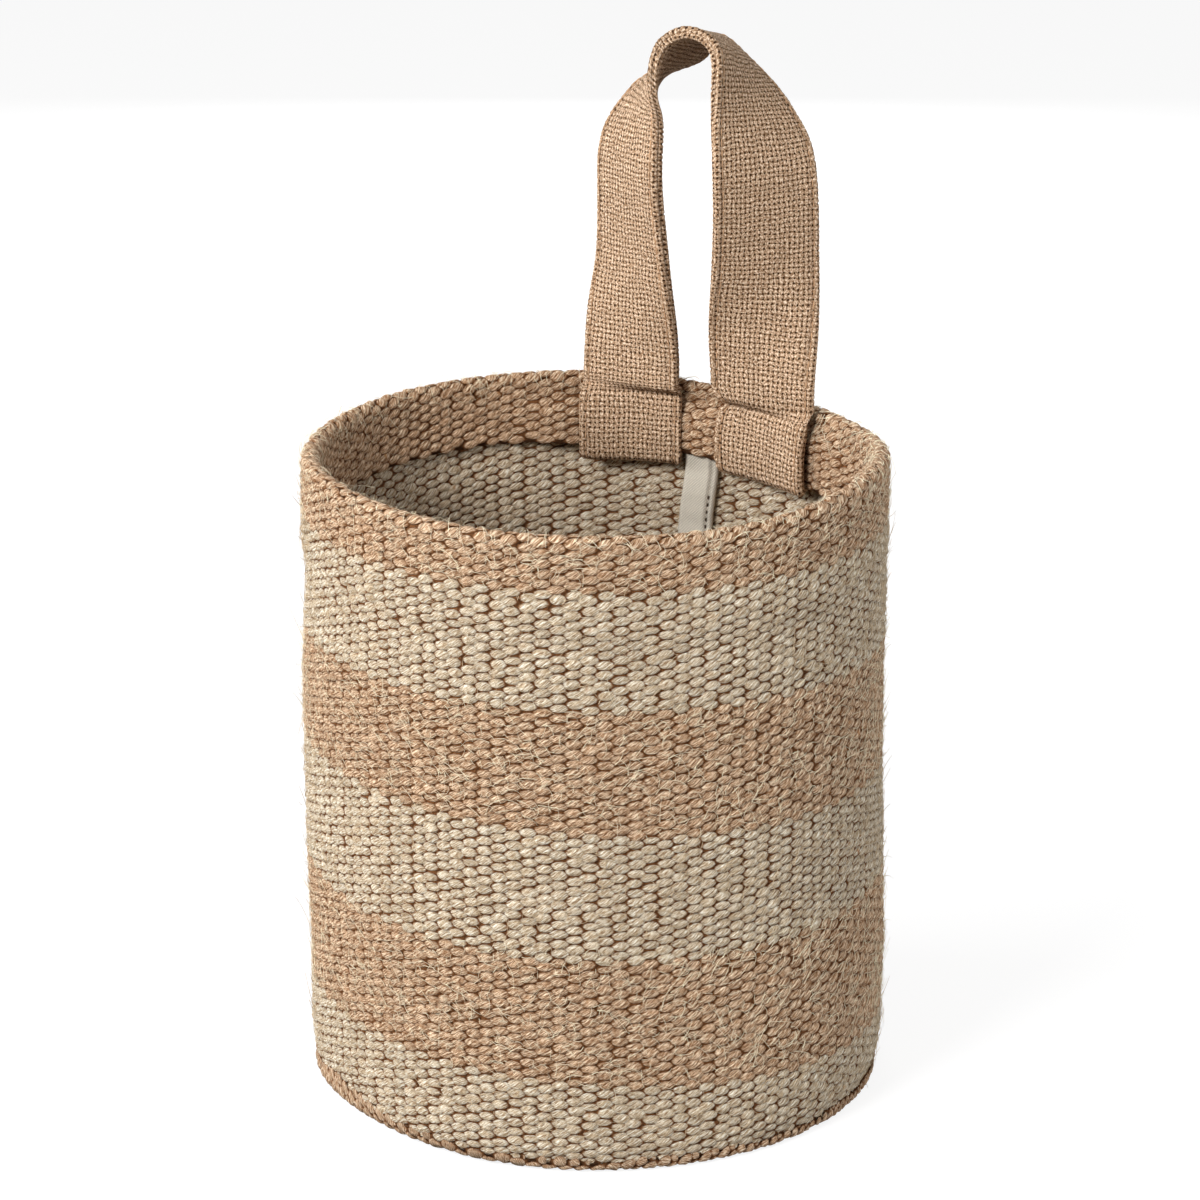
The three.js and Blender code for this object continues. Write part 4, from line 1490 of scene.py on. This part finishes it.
class BASKET_OT_weave_base(Operator):
    """Weave the round base cloth and turn up its edge"""

    bl_idname = "basket.weave_base"
    bl_label = "Weave Base"

    def execute(self, context):
        make_base(context.scene.basket_sizes, context.scene.basket_colours)
        return {"FINISHED"}


class BASKET_OT_make_strap(Operator):
    """Make the strap, with its sewn ends and its loop"""

    bl_idname = "basket.make_strap"
    bl_label = "Make Strap"

    def execute(self, context):
        make_strap(context.scene.basket_sizes, context.scene.basket_colours)
        return {"FINISHED"}


class BASKET_OT_sew_tapes(Operator):
    """Lay the cotton tapes over the seams of wall and base"""

    bl_idname = "basket.sew_tapes"
    bl_label = "Sew Tapes"

    def execute(self, context):
        make_tapes(context.scene.basket_sizes, context.scene.basket_colours)
        return {"FINISHED"}


class BASKET_OT_sew_threads(Operator):
    """Sew the threads that show"""

    bl_idname = "basket.sew_threads"
    bl_label = "Sew Threads"

    def execute(self, context):
        make_strap_stitches(context.scene.basket_sizes, context.scene.basket_colours)
        return {"FINISHED"}


class BASKET_OT_raise_fibres(Operator):
    """Raise stray fibres on the wall"""

    bl_idname = "basket.raise_fibres"
    bl_label = "Raise Fibres"

    def execute(self, context):
        make_fibres(context.scene.basket_sizes, context.scene.basket_colours)
        return {"FINISHED"}


class BASKET_OT_set_stage(Operator):
    """Set the floor, the lamps and the camera"""

    bl_idname = "basket.set_stage"
    bl_label = "Set Stage"

    def execute(self, context):
        make_floor()
        make_world()
        for name, place, size, power in LAMPS:
            make_lamp(name, round_camera(*place), size, power)
        make_camera()
        return {"FINISHED"}


OPERATORS = (
    BASKET_OT_weave_wall,
    BASKET_OT_weave_base,
    BASKET_OT_sew_tapes,
    BASKET_OT_make_strap,
    BASKET_OT_sew_threads,
    BASKET_OT_raise_fibres,
    BASKET_OT_set_stage,
)


class BASKET_PT_sidebar(Panel):
    """Sizes, colours and steps of the basket"""

    bl_idname = "BASKET_PT_sidebar"
    bl_label = "Storage Basket"
    bl_space_type = "VIEW_3D"
    bl_region_type = "UI"
    bl_category = "Basket"

    def draw(self, context):
        layout = self.layout
        for group in (context.scene.basket_sizes, context.scene.basket_colours):
            box = layout.box()
            for name in group.__annotations__:
                box.prop(group, name)
        for operator in OPERATORS:
            layout.operator(operator.bl_idname)


CLASSES = (BasketSizes, BasketColours, *OPERATORS, BASKET_PT_sidebar)


def register():
    for made in CLASSES:
        bpy.utils.register_class(made)
    bpy.types.Scene.basket_sizes = PointerProperty(type=BasketSizes)
    bpy.types.Scene.basket_colours = PointerProperty(type=BasketColours)


def unregister():
    del bpy.types.Scene.basket_colours
    del bpy.types.Scene.basket_sizes
    for made in reversed(CLASSES):
        bpy.utils.unregister_class(made)


def main():
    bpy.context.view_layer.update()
    register()
    for step in ("weave_wall", "weave_base", "sew_tapes", "make_strap", "sew_threads",
                 "raise_fibres", "set_stage"):
        getattr(bpy.ops.basket, step)()


if __name__ == "__main__":
    main()
